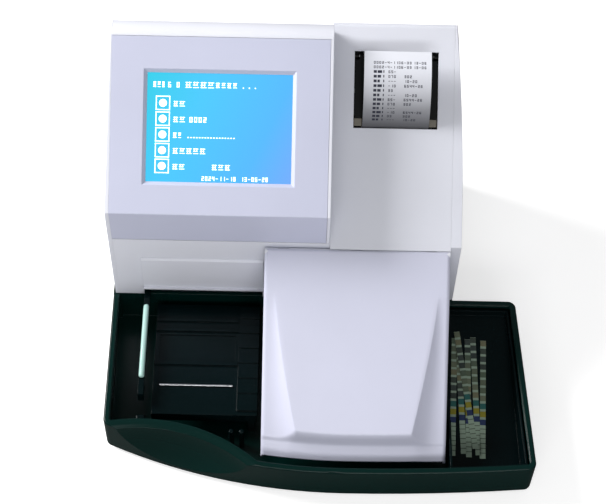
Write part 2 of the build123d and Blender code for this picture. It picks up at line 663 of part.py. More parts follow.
def display_board():
    top = -FASCIA_T - GLASS_T - LCD_T - 6
    half_w = SCREEN_W / 2
    half_h = SCREEN_H / 2
    parts = [block(SCREEN_U - half_w, SCREEN_U + half_w, SCREEN_UP - half_h, SCREEN_UP + half_h,
                   top - BOARD_T, top)]
    for x in (8 - half_w, half_w - 8):
        for y in (8 - half_h, half_h - 8):
            parts.append(Pos(SCREEN_U + x, SCREEN_UP + y, top + 3) * Cylinder(3, 6))
    for i in range(3):
        parts.append(block(SCREEN_U - 40 + i * 28, SCREEN_U - 22 + i * 28, SCREEN_UP - 10, SCREEN_UP + 8,
                           top - BOARD_T - 2.2, top - BOARD_T))
    return on_frame(DISPLAY_FRAME, joined(parts))


def printer_housing():
    outer = prism_x(printer_outline(SEAM_Z - 40), STEP_X, TOP_RIGHT)
    inner = prism_x(inset(printer_outline(SEAM_Z - 40 - WALL), WALL), STEP_X - 5, TOP_RIGHT + 5)
    hood = outer - inner
    front = block(STEP_X - 1, TOP_RIGHT + 1, Y_WALL - 1, Y_WALL + WALL + 1, SEAM_Z - 60, PRINTER_Z - WALL - 2)
    low_back = block(STEP_X - 1, TOP_RIGHT + 1, Y_BACK - WALL - 1, Y_BACK + 1, SEAM_Z - 60,
                     REAR_TOP_Z + SEAM_GAP / 2)
    hood = hood - front - low_back
    brow = block(STEP_X + SEAM_GAP, TOP_RIGHT, -BROW_L, 1, -WALL, 0)
    hood = hood + on_frame(PRINTER_FRAME, brow)
    hood = hood - rod_x(STEP_X - 1, TOP_RIGHT + 1, HINGE_Y, HINGE_Z, COVER_BARREL_R + JOIN + 0.3)
    hood = with_bosses(hood, outer, panel_screw_places(HIGH_SCREW_Z)[2:])
    pocket = block(POCKET_X - POCKET_W / 2, POCKET_X + POCKET_W / 2, POCKET_UP, POCKET_UP + POCKET_L, -10, 5)
    return hood - on_frame(PRINTER_FRAME, pocket)


def rear_panel():
    panel = block(TOP_LEFT, TOP_RIGHT, Y_BACK - TUB_T, Y_BACK, RIM_Z, REAR_TOP_Z)
    y0 = Y_BACK - TUB_T - 1
    y1 = Y_BACK + 1
    for i in range(9):
        z = REAR_TOP_Z - 72 + i * 7
        panel = panel - block(X_LEFT + 40, X_LEFT + 110, y0, y1, z, z + 3)
        panel = panel - block(CASE_RIGHT - 110, CASE_RIGHT - 40, y0, y1, z, z + 3)
    panel = panel - block(INLET_U - INLET_W / 2, INLET_U + INLET_W / 2, y0, y1,
                          INLET_Z - INLET_H / 2, INLET_Z + INLET_H / 2)
    panel = panel - block(SWITCH_U - SWITCH_W / 2, SWITCH_U + SWITCH_W / 2, y0, y1,
                          INLET_Z - SWITCH_H / 2, INLET_Z + SWITCH_H / 2)
    panel = panel - rod_y(FUSE_U, y0, y1, INLET_Z, FUSE_R)
    for x, z in panel_screw_places(LOW_SCREW_Z) + panel_screw_places(HIGH_SCREW_Z):
        panel = panel - rod_y(x, y0, y1, z, SCREW_HOLE_R)
        panel = panel - rod_y(x, Y_BACK - SCREW_SINK, y1, z, SCREW_HEAD_R)
    for x, width, height in PORTS:
        panel = panel - block(x - width / 2 - SEAT, x + width / 2 + SEAT, y0, y1,
                              PORTS_Z - height / 2 - SEAT, PORTS_Z + height / 2 + SEAT)
    return panel


INLET_Z = RIM_Z + INLET_RISE
PORTS_Z = INLET_Z
PORTS = [(CASE_RIGHT - x, width, height) for x, width, height in PORTS_IN]
INLET_U = X_LEFT + INLET_X
SWITCH_U = INLET_U + SWITCH_STEP
FUSE_U = SWITCH_U + FUSE_STEP


# ================================================================ front cover
COVER_LEFT = STEP_X - 55.2
COVER_RIGHT = COVER_LEFT + COVER_W
HINGE_Y = Y_WALL - COVER_BARREL_R - 0.6
HINGE_Z = (height_on(PRINTER_Z, COVER_SLOPE, HINGE_Y)
           - COVER_BARREL_R / math.cos(math.radians(COVER_SLOPE)))
BROW_L = (Y_WALL - HINGE_Y - 0.7) / math.cos(math.radians(SLOPE))
HINGE_LUGS = (COVER_LEFT + 12, COVER_LEFT + COVER_W / 2 - LUG_W / 2, COVER_RIGHT - 12 - LUG_W)


def half_space(point_a, point_b, point_c, away_from, size=400.0):
    """Large block on the far side of the plane through three points."""
    a, b, c = Vector(*point_a), Vector(*point_b), Vector(*point_c)
    normal = (b - a).cross(c - a).normalized()
    if normal.dot(Vector(*away_from) - a) > 0:
        normal = normal * -1
    return Location(Plane(a, z_dir=normal)) * Pos(0, 0, size / 2) * Box(size, size, size)


def front_plan(back):
    """Everything behind the tray's front line, moved back, over the cover's width."""
    x0 = COVER_LEFT - 1
    x1 = COVER_RIGHT + 1
    kink = (KINK_X, Y_FRONT + back)
    mid_l = (x0 + KINK_X) / 2
    mid_r = (x1 + KINK_X) / 2
    corner_l = (x0, front_line_y(x0, back))
    corner_r = (x1, front_line_y(x1, back))
    face = make_face(Wire([
        ThreePointArc(corner_l, (mid_l, front_line_y(mid_l, back)), kink),
        ThreePointArc(kink, (mid_r, front_line_y(mid_r, back)), corner_r),
        Line(corner_r, (x1, Y_WALL)), Line((x1, Y_WALL), (x0, Y_WALL)), Line((x0, Y_WALL), corner_l)]))
    return prism_z(face, 0, OVERALL_H)


def cover_form(wall):
    """Solid of the cover, its faces moved inwards by a wall."""
    x0 = COVER_LEFT + wall
    x1 = COVER_RIGHT - wall
    tilt = math.radians(COVER_SLOPE)
    down = wall / math.cos(tilt)
    lip_y = Y_FRONT + COVER_LIP_Y + wall
    edge_y = Y_FRONT + COVER_EDGE_Y + wall
    low_z = COVER_EDGE_Z - (20 if wall else 0)
    profile = [((HINGE_Y, height_on(PRINTER_Z, COVER_SLOPE, HINGE_Y) - down), 0),
               ((BEND[0] + wall * 0.3, BEND[1] - down), 0),
               ((lip_y, COVER_LIP_Z - wall * 0.4), 0),
               ((edge_y, COVER_EDGE_Z - wall * 0.2), 0),
               ((edge_y, low_z - 0.01), 0),
               ((HINGE_Y, low_z - 0.01), 0)]
    solid = prism_x(profile, x0, x1)
    for side, x_edge, foot_in in ((1, x0, FOOT_IN_L + wall), (-1, x1, FOOT_IN_R + wall)):
        apex = frame_point(COVER_FRAME, x_edge + side * APEX_IN, -COVER_BEND_L + DIP_L, -wall)
        inner = frame_point(COVER_FRAME, x_edge + side * foot_in, -COVER_BEND_L, -wall)
        outer = frame_point(COVER_FRAME, x_edge + side * APEX_IN, -COVER_BEND_L, -wall - DIP)
        level = frame_point(COVER_FRAME, x_edge + side * (APEX_IN + 30), -COVER_BEND_L + DIP_L, -wall)
        middle = ((x0 + x1) / 2, Y_WALL - 60, 0)
        flank = half_space(apex, inner, outer, middle)
        dip = half_space(apex, level, outer, middle)
        solid = solid - (flank & dip)
    return solid & front_plan(COVER_EDGE_Y + wall)


def front_cover():
    shell = cover_form(0) - cover_form(WALL)
    keep = prism_x([((HINGE_Y, SKIRT_Z), 0), ((HINGE_Y, OVERALL_H), 0), ((Y_FRONT, OVERALL_H), 0),
                    ((Y_FRONT, 0), 0), ((BEND[0] + 6, 0), 0), ((BEND[0] + 6, SKIRT_Z - 14), 0),
                    ((BEND[0] + 28, SKIRT_Z), 0)], COVER_LEFT - 1, COVER_RIGHT + 1)
    shell = shell & keep
    barrel = rod_x(COVER_LEFT, COVER_RIGHT, HINGE_Y, HINGE_Z, COVER_BARREL_R)
    shell = shell + barrel
    for x in HINGE_LUGS:
        x0 = x - JOIN
        x1 = x + LUG_W + JOIN
        shell = shell - rod_x(x0, x1, HINGE_Y, HINGE_Z, LUG_R + JOIN)
        shell = shell - block(x0, x1, HINGE_Y + 0.5, HINGE_Y + COVER_BARREL_R + 1, HINGE_Z - 8, HINGE_Z + 8)
        shell = shell - block(x0, x1, HINGE_Y - COVER_BARREL_R, HINGE_Y + 0.6, HINGE_Z - 8, HINGE_Z - JOIN)
    return shell - rod_x(COVER_LEFT - 1, COVER_RIGHT + 1, HINGE_Y, HINGE_Z, COVER_PIN_R + RUN)


def cover_pin():
    return rod_x(COVER_LEFT + 1, COVER_RIGHT - 1, HINGE_Y, HINGE_Z, COVER_PIN_R)


# ================================================================ strip path
PLATFORM_X0 = X_LEFT + PLATFORM_LEFT
PLATFORM_X1 = COVER_LEFT - 4
PLATFORM_Y0 = Y_FRONT + PLATFORM_FRONT
PATH_D = Y_WALL - PLATFORM_Y0
RIBS_Y = [PLATFORM_Y0 + share * PATH_D for share in RIB_SHARES]
SLIDE_Y = PLATFORM_Y0 + SLIDE_SHARE * PATH_D
RAKE_ROWS = [PLATFORM_Y0 + ROW_FRONT + i * (PATH_D - ROW_FRONT - ROW_BACK) / 2 for i in range(3)]
DECK_X0 = COVER_LEFT + WALL + 1
DECK_X1 = COVER_RIGHT - 1
RAKE_SLOTS_X = (DECK_X0 + 18, DECK_X0 + 96)


def legs_under(x0, x1, y0, y1, top, size=6.0):
    return [block(x, x + size, y, y + size, FLOOR_Z, top)
            for x in (x0, x1 - size) for y in (y0, y1 - size)]


def strip_platform():
    """Loading platform: plate, cross ribs, notched guide, front edge and legs."""
    y1 = Y_WALL - 6
    plate = block(PLATFORM_X0, PLATFORM_X1, PLATFORM_Y0, y1, DECK_Z - DECK_T, DECK_Z)
    edge = block(PLATFORM_X0, PLATFORM_X1, PLATFORM_Y0, PLATFORM_Y0 + DECK_T, DECK_Z - 12, DECK_Z)
    legs = legs_under(PLATFORM_X0 + 2, PLATFORM_X1 - 2, PLATFORM_Y0, y1, DECK_Z - 1)
    ribs = [block(PLATFORM_X0, PLATFORM_X1 - GATE_W, y, y + RIB_W, DECK_Z - 1, DECK_Z + RAIL_H)
            for y in RIBS_Y]
    sink = block(PLATFORM_X0 + 4, PLATFORM_X1 - GATE_W - 3, RIBS_Y[0] + RIB_W + SINK_MARGIN,
                 RIBS_Y[1] - SINK_MARGIN, DECK_Z - 1.2, DECK_Z + 1)
    guide = block(PLATFORM_X1 - GATE_W, PLATFORM_X1, PLATFORM_Y0 + 4, Y_WALL - 8, DECK_Z - 1, DECK_Z + RAIL_H)
    platform = joined([plate, edge, guide] + legs + ribs) - sink
    notch_pitch = (Y_WALL - PLATFORM_Y0 - 26) / 6
    for i in range(6):
        y = PLATFORM_Y0 + 14 + i * notch_pitch
        platform = platform - block(PLATFORM_X1 - GATE_W - 1, PLATFORM_X1 + 1, y, y + 7,
                                    DECK_Z + RAIL_H * 0.4, DECK_Z + 5)
    return platform


def slide_rail():
    """Round bright rail that carries the strips' handle end."""
    x0 = PLATFORM_X0 + 6
    x1 = PLATFORM_X1 - GATE_W - 4
    y = SLIDE_Y
    z = DECK_Z + RAIL_H - SLIDE_R
    rail = rod_x(x0, x1, y, z, SLIDE_R)
    seats = [block(x, x + 3, y - SLIDE_R, y + SLIDE_R, DECK_Z, z) for x in (x0, x1 - 3)]
    return joined([rail] + seats)


def stop_posts():
    """Locating posts ahead of the platform and the pusher's end stop."""
    y = PLATFORM_Y0 - 14
    posts = []
    for x in (PLATFORM_X1 - 22, PLATFORM_X1 - 13):
        post = rod_z(x, y, FLOOR_Z, DECK_Z - 2, 2.2)
        posts.append(fillet(post.edges().group_by(Axis.Z)[-1], 1.2))
    stop = block(X_LEFT + PUSHER_X - 4, X_LEFT + PUSHER_X + 4, PLATFORM_Y0 - 8, PLATFORM_Y0 - 2,
                 FLOOR_Z, DECK_Z + 2)
    posts.append(fillet(stop.edges().group_by(Axis.Z)[-1], 1.5))
    return group(posts)


RAKE_X0 = DECK_X0 + 8
RAKE_X1 = RAKE_X0 + (RAKE_FINGERS - 1) * RAKE_PITCH + FINGER_W


def conveyor_deck():
    """Slotted plate under the cover that the strips are stepped across."""
    y0 = PLATFORM_Y0
    y1 = Y_WALL - 6
    deck = block(DECK_X0, DECK_X1, y0, y1, DECK_Z - DECK_T, DECK_Z)
    legs = [block(x, x + 4, y, y + 5, FLOOR_Z, DECK_Z - 1)
            for x in (DECK_X0, DECK_X1 - 4) for y in (y0, y1 - 5)]
    deck = joined([deck] + legs)
    for y in RAKE_ROWS:
        deck = deck - block(DECK_X0 + 6, DECK_X1 - 4, y - 0.8, y + FINGER_W + 0.8, DECK_Z - 5, DECK_Z + 1)
    ribs = [block(DECK_X0 + 2, DECK_X1 - 2, y + 14, y + 16, DECK_Z - 0.5, DECK_Z + 1) for y in RAKE_ROWS[:2]]
    return joined([deck] + ribs)


def conveyor_rake():
    """Comb under the deck with its arms through the divider and its rack."""
    parts = []
    for y in RAKE_ROWS:
        parts.append(block(RAKE_X0, RAKE_X1, y, y + FINGER_W, RAKE_Z, DECK_Z - DECK_T - 1))
        for i in range(RAKE_FINGERS):
            x = RAKE_X0 + i * RAKE_PITCH
            parts.append(block(x, x + FINGER_W, y, y + FINGER_W, RAKE_Z, DECK_Z + FINGER_UP))
    for x in RAKE_SLOTS_X:
        parts.append(block(x + 1, x + 1 + RAKE_ARM_W, RAKE_ROWS[0], RAKE_BAR_Y + 4, RAKE_Z, RAKE_Z + RAKE_PLATE_T))
    bar = block(RAKE_SLOTS_X[0] + 1, RAKE_SLOTS_X[1] + 1 + RAKE_ARM_W, RAKE_BAR_Y - 4, RAKE_BAR_Y + 4,
                RAKE_Z - 5, RAKE_Z + RAKE_PLATE_T + 3)
    comb = joined(parts + [bar])
    comb = comb - rod_x(RAKE_X0 - 40, RAKE_X1 + 60, RAKE_BAR_Y, RAKE_Z, GUIDE_R + RUN)
    tooth_pitch = 2 * math.pi * PINION_R / PINION_TEETH
    rack_x0 = PINION_X - RAKE_TRAVEL - 6
    count = int((RAKE_TRAVEL + 14) / tooth_pitch)
    for i in range(count):
        x = rack_x0 + i * tooth_pitch
        comb = comb + block(x, x + tooth_pitch * 0.36, RAKE_BAR_Y + 3.5, RAKE_BAR_Y + RACK_REACH,
                            RAKE_Z - 4.5, RAKE_Z - 0.5)
    return comb


RAKE_BAR_Y = Y_WALL + DIVIDER_T + 8
PINION_X = DECK_X0 + 74
PINION_Y = RAKE_BAR_Y + RACK_REACH + PINION_R + JOIN


def conveyor_guide_rod():
    return rod_x(UPRIGHT_X, FRAME_X1, RAKE_BAR_Y, RAKE_Z, GUIDE_R)


def conveyor_pinion():
    hub = gear(PINION_R, PINION_TEETH, 4.0, 2.5 + RUN)
    return Pos(PINION_X, PINION_Y, RAKE_Z - 4.5) * hub


def conveyor_motor():
    z = RAKE_Z - 6.5
    body = block(PINION_X - 17.5, PINION_X + 17.5, PINION_Y - 9, PINION_Y + 26, CHASSIS_Z, z)
    return body + rod_z(PINION_X, PINION_Y, z - 1, RAKE_Z + 2, 2.5)


# ================================================================ pusher
ROD_X = X_LEFT + PUSHER_X
SLIDE_X0 = TOP_LEFT + 1.5
FRAME_X1 = TOP_RIGHT - 1.5
GUIDE_Y1 = Y_WALL + GUIDE_IN
GUIDE_Y2 = GUIDE_Y1 + GUIDE_STEP
PULLEY_IDLE_X = SLIDE_X0 + 12
PULLEY_DRIVE_X = COVER_LEFT + 34
PULLEY_Y = GUIDE_Y2 + 16
PULLEY_Z = GUIDE_Z
FRAME_T = 2.0
UPRIGHT_X = COVER_LEFT + 8


def mechanism_frame():
    """Folded steel frame on the chassis, with the ears that hold the rods."""
    y0 = Y_WALL + DIVIDER_T + 2
    base = block(SLIDE_X0, FRAME_X1, y0, y0 + 60, CHASSIS_Z, CHASSIS_Z + FRAME_T)
    base = base - block(PINION_X - 18, PINION_X + 18, PINION_Y - 9.5, PINION_Y + 27, 0, OVERALL_H)
    base = base - block(PULLEY_DRIVE_X - 22, PULLEY_DRIVE_X + 22, PULLEY_Y - 22, PULLEY_Y + 22, 0, OVERALL_H)
    ears = [block(SLIDE_X0, SLIDE_X0 + FRAME_T, y0, PULLEY_Y + 4, CHASSIS_Z, GUIDE_Z + 8),
            block(UPRIGHT_X, UPRIGHT_X + FRAME_T, y0, PULLEY_Y - 10, CHASSIS_Z, GUIDE_Z + 8),
            block(FRAME_X1 - FRAME_T, FRAME_X1, y0, y0 + 18, CHASSIS_Z, RAKE_Z + 8)]
    shelf = block(SLIDE_X0, PULLEY_IDLE_X + 8, PULLEY_Y - 6, PULLEY_Y + 6, GUIDE_Z - 8, GUIDE_Z - 6)
    frame = joined([base, shelf] + ears)
    for y in (GUIDE_Y1, GUIDE_Y2):
        frame = frame - rod_x(SLIDE_X0 - 1, UPRIGHT_X + 5, y, GUIDE_Z, GUIDE_R)
    frame = frame - rod_x(UPRIGHT_X - 1, FRAME_X1 + 1, RAKE_BAR_Y, RAKE_Z, GUIDE_R)
    return frame - rod_z(PULLEY_IDLE_X, PULLEY_Y, GUIDE_Z - 9, GUIDE_Z - 5, 2.0)


def guide_rods():
    return group([rod_x(SLIDE_X0, UPRIGHT_X + FRAME_T, y, GUIDE_Z, GUIDE_R) for y in (GUIDE_Y1, GUIDE_Y2)])


def pusher_carriage():
    """Slider on the two rods, with belt jaws behind and the arm in front."""
    x0 = ROD_X - CARRIAGE_W / 2
    x1 = ROD_X + CARRIAGE_W / 2
    body = block(x0, x1, GUIDE_Y1 - 6, GUIDE_Y2 + 5, GUIDE_Z - 7, GUIDE_Z + 7)
    jaw = block(x0 + 4, x1 - 4, GUIDE_Y2 + 4, PULLEY_Y - PULLEY_R - BELT_T - JOIN, GUIDE_Z - 4, GUIDE_Z + 4)
    body = body + jaw
    for y in (GUIDE_Y1, GUIDE_Y2):
        body = body - rod_x(x0 - 1, x1 + 1, y, GUIDE_Z, GUIDE_R + RUN)
    return body


def pusher_arm():
    """Dark arm from the carriage through the slot, with the rod's two clips."""
    x0 = ROD_X - ARM_W / 2
    x1 = ROD_X + ARM_W / 2
    front = ARM_Y0
    bar = block(x0, x1, front, GUIDE_Y2, ARM_Z, ARM_Z + ARM_H)
    foot = block(x0, x1, GUIDE_Y1 - 3, GUIDE_Y2, ARM_Z + 1, GUIDE_Z - 7)
    nose = block(x0, x1, front, front + 14, ARM_Z - 7, ARM_Z + ARM_H)
    bar = joined([bar, foot, nose])
    bar = bar - rod_y(ROD_X, ROD_Y0 - 1, ROD_Y1 + 1, ARM_Z + ARM_H + 0.6, ROD_R)
    return bar


ARM_Y0 = front_line_y(ROD_X, 0) + ARM_FRONT
ROD_Y0 = ARM_Y0 + ROD_FRONT
ROD_Y1 = Y_WALL - ROD_BACK


def pusher_rod():
    """Pale sweep rod lying in the arm, with domed ends."""
    z = ARM_Z + ARM_H + 0.6
    rod = rod_y(ROD_X, ROD_Y0, ROD_Y1, z, ROD_R)
    return fillet(rod.edges().filter_by(GeomType.CIRCLE), ROD_R * 0.85)


def pulley(x, shaft_r):
    rim = Pos(x, PULLEY_Y, PULLEY_Z) * Cylinder(PULLEY_R - JOIN, BELT_W + 1.8)
    flanges = [Pos(x, PULLEY_Y, PULLEY_Z + s * (BELT_W / 2 + 0.9)) * Cylinder(PULLEY_R + 1.5, 1.0)
               for s in (-1, 1)]
    return joined([rim] + flanges) - rod_z(x, PULLEY_Y, PULLEY_Z - 9, PULLEY_Z + 9, shaft_r + RUN)


def idler_pulley():
    return pulley(PULLEY_IDLE_X, 2.0)


def idler_axle():
    """Shouldered axle on the frame's shelf."""
    pin = rod_z(PULLEY_IDLE_X, PULLEY_Y, PULLEY_Z - 8, PULLEY_Z + 6, 2.0)
    return pin + rod_z(PULLEY_IDLE_X, PULLEY_Y, PULLEY_Z + 5.2, PULLEY_Z + 7, 3.4)


def drive_pulley():
    return pulley(PULLEY_DRIVE_X, 2.5)


def pusher_belt():
    """Toothed belt round both pulleys."""
    def loop(radius):
        straight = block(PULLEY_IDLE_X, PULLEY_DRIVE_X, PULLEY_Y - radius, PULLEY_Y + radius,
                         PULLEY_Z - BELT_W / 2, PULLEY_Z + BELT_W / 2)
        ends = [Pos(x, PULLEY_Y, PULLEY_Z) * Cylinder(radius, BELT_W) for x in (PULLEY_IDLE_X, PULLEY_DRIVE_X)]
        return joined([straight] + ends)
    return loop(PULLEY_R + BELT_T) - loop(PULLEY_R)


def pusher_motor():
    z = PULLEY_Z - 10
    half = MOTOR_W / 2
    body = block(PULLEY_DRIVE_X - half, PULLEY_DRIVE_X + half, PULLEY_Y - half, PULLEY_Y + half, CHASSIS_Z, z)
    body = chamfer(body.edges().filter_by(Axis.Z), 4.0)
    return body + rod_z(PULLEY_DRIVE_X, PULLEY_Y, z - 1, PULLEY_Z + 6, 2.5)


# ================================================================ optics
RAIL_FRONT_Y = PLATFORM_Y0 + 6
HEAD_X = COVER_LEFT + HEAD_RIGHT
HEAD_Y = Y_WALL - HEAD_IN


def optics_bracket():
    """Front bearing bracket of the optical rails, standing on the deck."""
    x0 = HEAD_X - HEAD_W / 2 - 2
    x1 = HEAD_X + HEAD_W / 2 + 2
    upright = block(x0, x1, RAIL_FRONT_Y, RAIL_FRONT_Y + 3, DECK_Z, OPTIC_RAIL_Z + 5.5)
    foot = block(x0, x1, RAIL_FRONT_Y, RAIL_FRONT_Y + 9, DECK_Z, DECK_Z + 2)
    bracket = upright + foot
    for x in (HEAD_X - HEAD_W / 2 + 6, HEAD_X + HEAD_W / 2 - 6):
        bracket = bracket - rod_y(x, RAIL_FRONT_Y - 1, RAIL_FRONT_Y + 4, OPTIC_RAIL_Z, OPTIC_RAIL_R)
    return bracket - rod_y(HEAD_X, RAIL_FRONT_Y - 1, RAIL_FRONT_Y + 4, OPTIC_RAIL_Z, SCREW_R + RUN)


def optics_rails():
    return group([rod_y(x, RAIL_FRONT_Y, Y_WALL + DIVIDER_T, OPTIC_RAIL_Z, OPTIC_RAIL_R)
                  for x in (HEAD_X - HEAD_W / 2 + 6, HEAD_X + HEAD_W / 2 - 6)])


def optical_head():
    x0 = HEAD_X - HEAD_W / 2
    x1 = HEAD_X + HEAD_W / 2
    y0 = HEAD_Y - HEAD_D / 2
    y1 = HEAD_Y + HEAD_D / 2
    body = block(x0, x1, y0, y1, HEAD_Z, HEAD_Z + HEAD_H)
    body = chamfer(body.edges().filter_by(Axis.X).group_by(Axis.Z)[-1], 4.0)
    for x in (x0 + 6, x1 - 6):
        body = body - rod_y(x, y0 - 1, y1 + 1, OPTIC_RAIL_Z, OPTIC_RAIL_R + RUN)
    body = body - rod_y(HEAD_X, y0 - 1, y1 + 1, OPTIC_RAIL_Z, SCREW_R + RUN)
    return body - rod_z(HEAD_X, HEAD_Y, HEAD_Z - 1, HEAD_Z + 4, 4.0)


def optical_lens():
    return rod_z(HEAD_X, HEAD_Y, HEAD_Z + 0.5, HEAD_Z + 4, 4.0)


def lead_screw():
    return rod_y(HEAD_X, RAIL_FRONT_Y - 1, Y_WALL + DIVIDER_T + 4, OPTIC_RAIL_Z, SCREW_R)


def optics_motor():
    y0 = Y_WALL + DIVIDER_T
    body = block(HEAD_X - 14, HEAD_X + 14, y0, y0 + 28, OPTIC_RAIL_Z - 14, OPTIC_RAIL_Z + 14)
    return body - rod_y(HEAD_X, y0 - 1, y0 + 5, OPTIC_RAIL_Z, SCREW_R + RUN)


# ================================================================ waste bin
BIN_X0 = COVER_RIGHT + BIN_LEFT_GAP


def bin_block(shrink, z0, z1):
    """Bin plan: follows the tray's front and right side inside the rim."""
    back = RIM_W + BIN_CLEAR + shrink
    plan = prism_z(tray_face(back), z0, z1)
    return plan & block(BIN_X0 + shrink, X_RIGHT, Y_FRONT, Y_WALL - 1.5 - shrink, z0, z1)


def bin_floor_cut(lift):
    """Everything above the sloped floor."""
    y0 = Y_FRONT
    y1 = Y_WALL
    return prism_x([((y0, BIN_FRONT_Z + lift), 0), ((y1, BIN_BACK_Z + lift), 0), ((y1, OVERALL_H), 0),
                    ((y0, OVERALL_H), 0)], BIN_X0 - 5, X_RIGHT + 5)


def waste_bin():
    body = bin_block(0, FLOOR_Z + JOIN, BIN_TOP_Z)
    room = bin_block(BIN_T, FLOOR_Z, BIN_TOP_Z + 1) & bin_floor_cut(0)
    under = bin_block(BIN_T, FLOOR_Z, BIN_TOP_Z) - bin_floor_cut(-BIN_T)
    body = body - room - under
    entry = block(BIN_X0 - 1, BIN_X0 + BIN_T + 0.5, PLATFORM_Y0 - 2, Y_WALL - 8, BIN_ENTRY_Z, BIN_TOP_Z + 1)
    return body - (entry & bin_floor_cut(0.5))


def bin_floor_z(y):
    return BIN_FRONT_Z + (BIN_BACK_Z - BIN_FRONT_Z) * (y - Y_FRONT) / (Y_WALL - Y_FRONT)


def used_strips():
    """Spent strips on the bin's sloped floor, pads towards the back."""
    pitch = math.degrees(math.atan2(BIN_BACK_Z - BIN_FRONT_Z, Y_WALL - Y_FRONT))
    strips = []
    bin_mid = (Y_FRONT + Y_WALL) / 2 + STRIPS_AHEAD
    room = right_line_x(Y_WALL, RIM_W + BIN_CLEAR + BIN_T) - BIN_X0 - BIN_T
    for x, y, turn, layer in [place for place in STRIP_PLACES if place[0] + STRIP_W < room]:
        tape = Pos(0, 0, STRIP_T / 2) * Box(STRIP_W, STRIP_L, STRIP_T)
        pads = [Pos(0, STRIP_L / 2 - PAD_L / 2 - 0.5 - i * PAD_PITCH, STRIP_T + PAD_T / 2)
                * Box(STRIP_W, PAD_L, PAD_T) for i in range(PADS)]
        strip = joined([tape] + pads)
        mid_y = bin_mid + y
        lift = bin_floor_z(mid_y) + layer * (STRIP_T + PAD_T + 0.1)
        place = Pos(BIN_X0 + BIN_T + x, mid_y, lift) * Rot(pitch, 0, 0) * Rot(0, 0, turn)
        strips.append(place * strip)
    return group(strips)


# ================================================================ printer
def on_printer(shape):
    return on_frame(PRINTER_FRAME, shape)


POCKET_X = TOP_RIGHT - POCKET_IN
POCKET_X0 = POCKET_X - POCKET_W / 2
POCKET_X1 = POCKET_X + POCKET_W / 2
POCKET_TOP = CASE_D / math.cos(math.radians(SLOPE)) - POCKET_BACK
POCKET_UP = POCKET_TOP - POCKET_L
DOOR_PIN_V = POCKET_TOP - DOOR_BARREL_R - 0.6
DOOR_PIN_D = -DOOR_SINK - DOOR_BARREL_R
DOOR_LOW_V = POCKET_UP + SLOT_W
PLATEN_V = POCKET_UP + 9.0
PLATEN_D = -12.5
ROLL_V = POCKET_UP + 34.0
ROLL_D = -23.0


def printer_frame():
    """Well that holds the roll, with its hinge ears at the upper end."""
    gap = SEAT
    corners = [((POCKET_UP - 3, -WALL), 0), ((POCKET_TOP + 3, -WALL), 0),
               ((POCKET_TOP + 3, -POCKET_BACK_DEPTH), 0), ((POCKET_TOP - 14, -POCKET_DEPTH), 0),
               ((POCKET_UP - 3, -POCKET_DEPTH), 0)]
    room = inset(corners, 3 + gap)
    for i in (0, 1):
        room[i] = ((room[i][0][0], 5), 0)
    frame = prism_x(corners, POCKET_X0 - 3, POCKET_X1 + 3) - prism_x(room, POCKET_X0 + gap, POCKET_X1 - gap)
    for x0, x1 in ((POCKET_X0 + SEAT, POCKET_X0 + 4), (POCKET_X1 - 4, POCKET_X1 - SEAT)):
        ear = Pos((x0 + x1) / 2, DOOR_PIN_V, DOOR_PIN_D) * Rot(0, 90, 0) * Cylinder(DOOR_BARREL_R, x1 - x0)
        web = block(x0, x1, DOOR_PIN_V, POCKET_TOP + 1, DOOR_PIN_D - 3, -WALL)
        frame = frame + ear + web
    pin = Pos(POCKET_X, DOOR_PIN_V, DOOR_PIN_D) * Rot(0, 90, 0) * Cylinder(DOOR_PIN_R, POCKET_W - 2)
    axle = Pos(POCKET_X, ROLL_V, ROLL_D) * Rot(0, 90, 0) * Cylinder(2.0 + RUN, POCKET_W + 2)
    return on_printer(frame - pin - axle)


def door_pin():
    pin = Pos(POCKET_X, DOOR_PIN_V, DOOR_PIN_D) * Rot(0, 90, 0) * Cylinder(DOOR_PIN_R, POCKET_W - 2)
    return on_printer(pin)


def printer_door():
    """Black door over the roll, with cheeks and bearings for the platen."""
    x0 = POCKET_X0 + 0.6
    x1 = POCKET_X1 - 0.6
    low = POCKET_TOP - DOOR_L - 0.6
    face = block(x0, x1, low, DOOR_PIN_V, -DOOR_SINK - DOOR_T, -DOOR_SINK)
    barrel = Pos(POCKET_X, DOOR_PIN_V, DOOR_PIN_D) * Rot(0, 90, 0) * Cylinder(DOOR_BARREL_R, POCKET_W - 9.2)
    notch = [block(a, b, DOOR_PIN_V - DOOR_BARREL_R - 0.6, POCKET_TOP, -12, 1)
             for a, b in ((POCKET_X0 - 1, POCKET_X0 + 4.4), (POCKET_X1 - 4.4, POCKET_X1 + 1))]
    cheeks = [block(a, a + 2, PLATEN_V - 5, low + 20, PLATEN_D - 4, -DOOR_SINK - 1) for a in (x0 + 2, x1 - 4)]
    lip = block(x0, x1, DOOR_LOW_V, low + 1, -DOOR_SINK - DOOR_T - 1, -DOOR_SINK - 1)
    door = joined([face - notch[0] - notch[1], barrel, lip] + cheeks)
    pin = Pos(POCKET_X, DOOR_PIN_V, DOOR_PIN_D) * Rot(0, 90, 0) * Cylinder(DOOR_PIN_R + RUN, POCKET_W + 2)
    shaft = Pos(POCKET_X, PLATEN_V, PLATEN_D) * Rot(0, 90, 0) * Cylinder(PLATEN_SHAFT_R + RUN, POCKET_W)
    return on_printer(door - pin - shaft)


def platen_roller():
    axis = Pos(POCKET_X, PLATEN_V, PLATEN_D) * Rot(0, 90, 0)
    rubber = axis * Cylinder(PLATEN_R, PAPER_W)
    shaft = axis * Cylinder(PLATEN_SHAFT_R, POCKET_W - 2.4)
    return on_printer(rubber + shaft)


def platen_gear():
    x = POCKET_X0 + 3.6 + 1.2
    body = Rot(0, 90, 0) * gear(GEAR_R - 1.5, GEAR_TEETH, 1.6, PLATEN_SHAFT_R)
    return on_printer(Pos(x, PLATEN_V, PLATEN_D) * body)


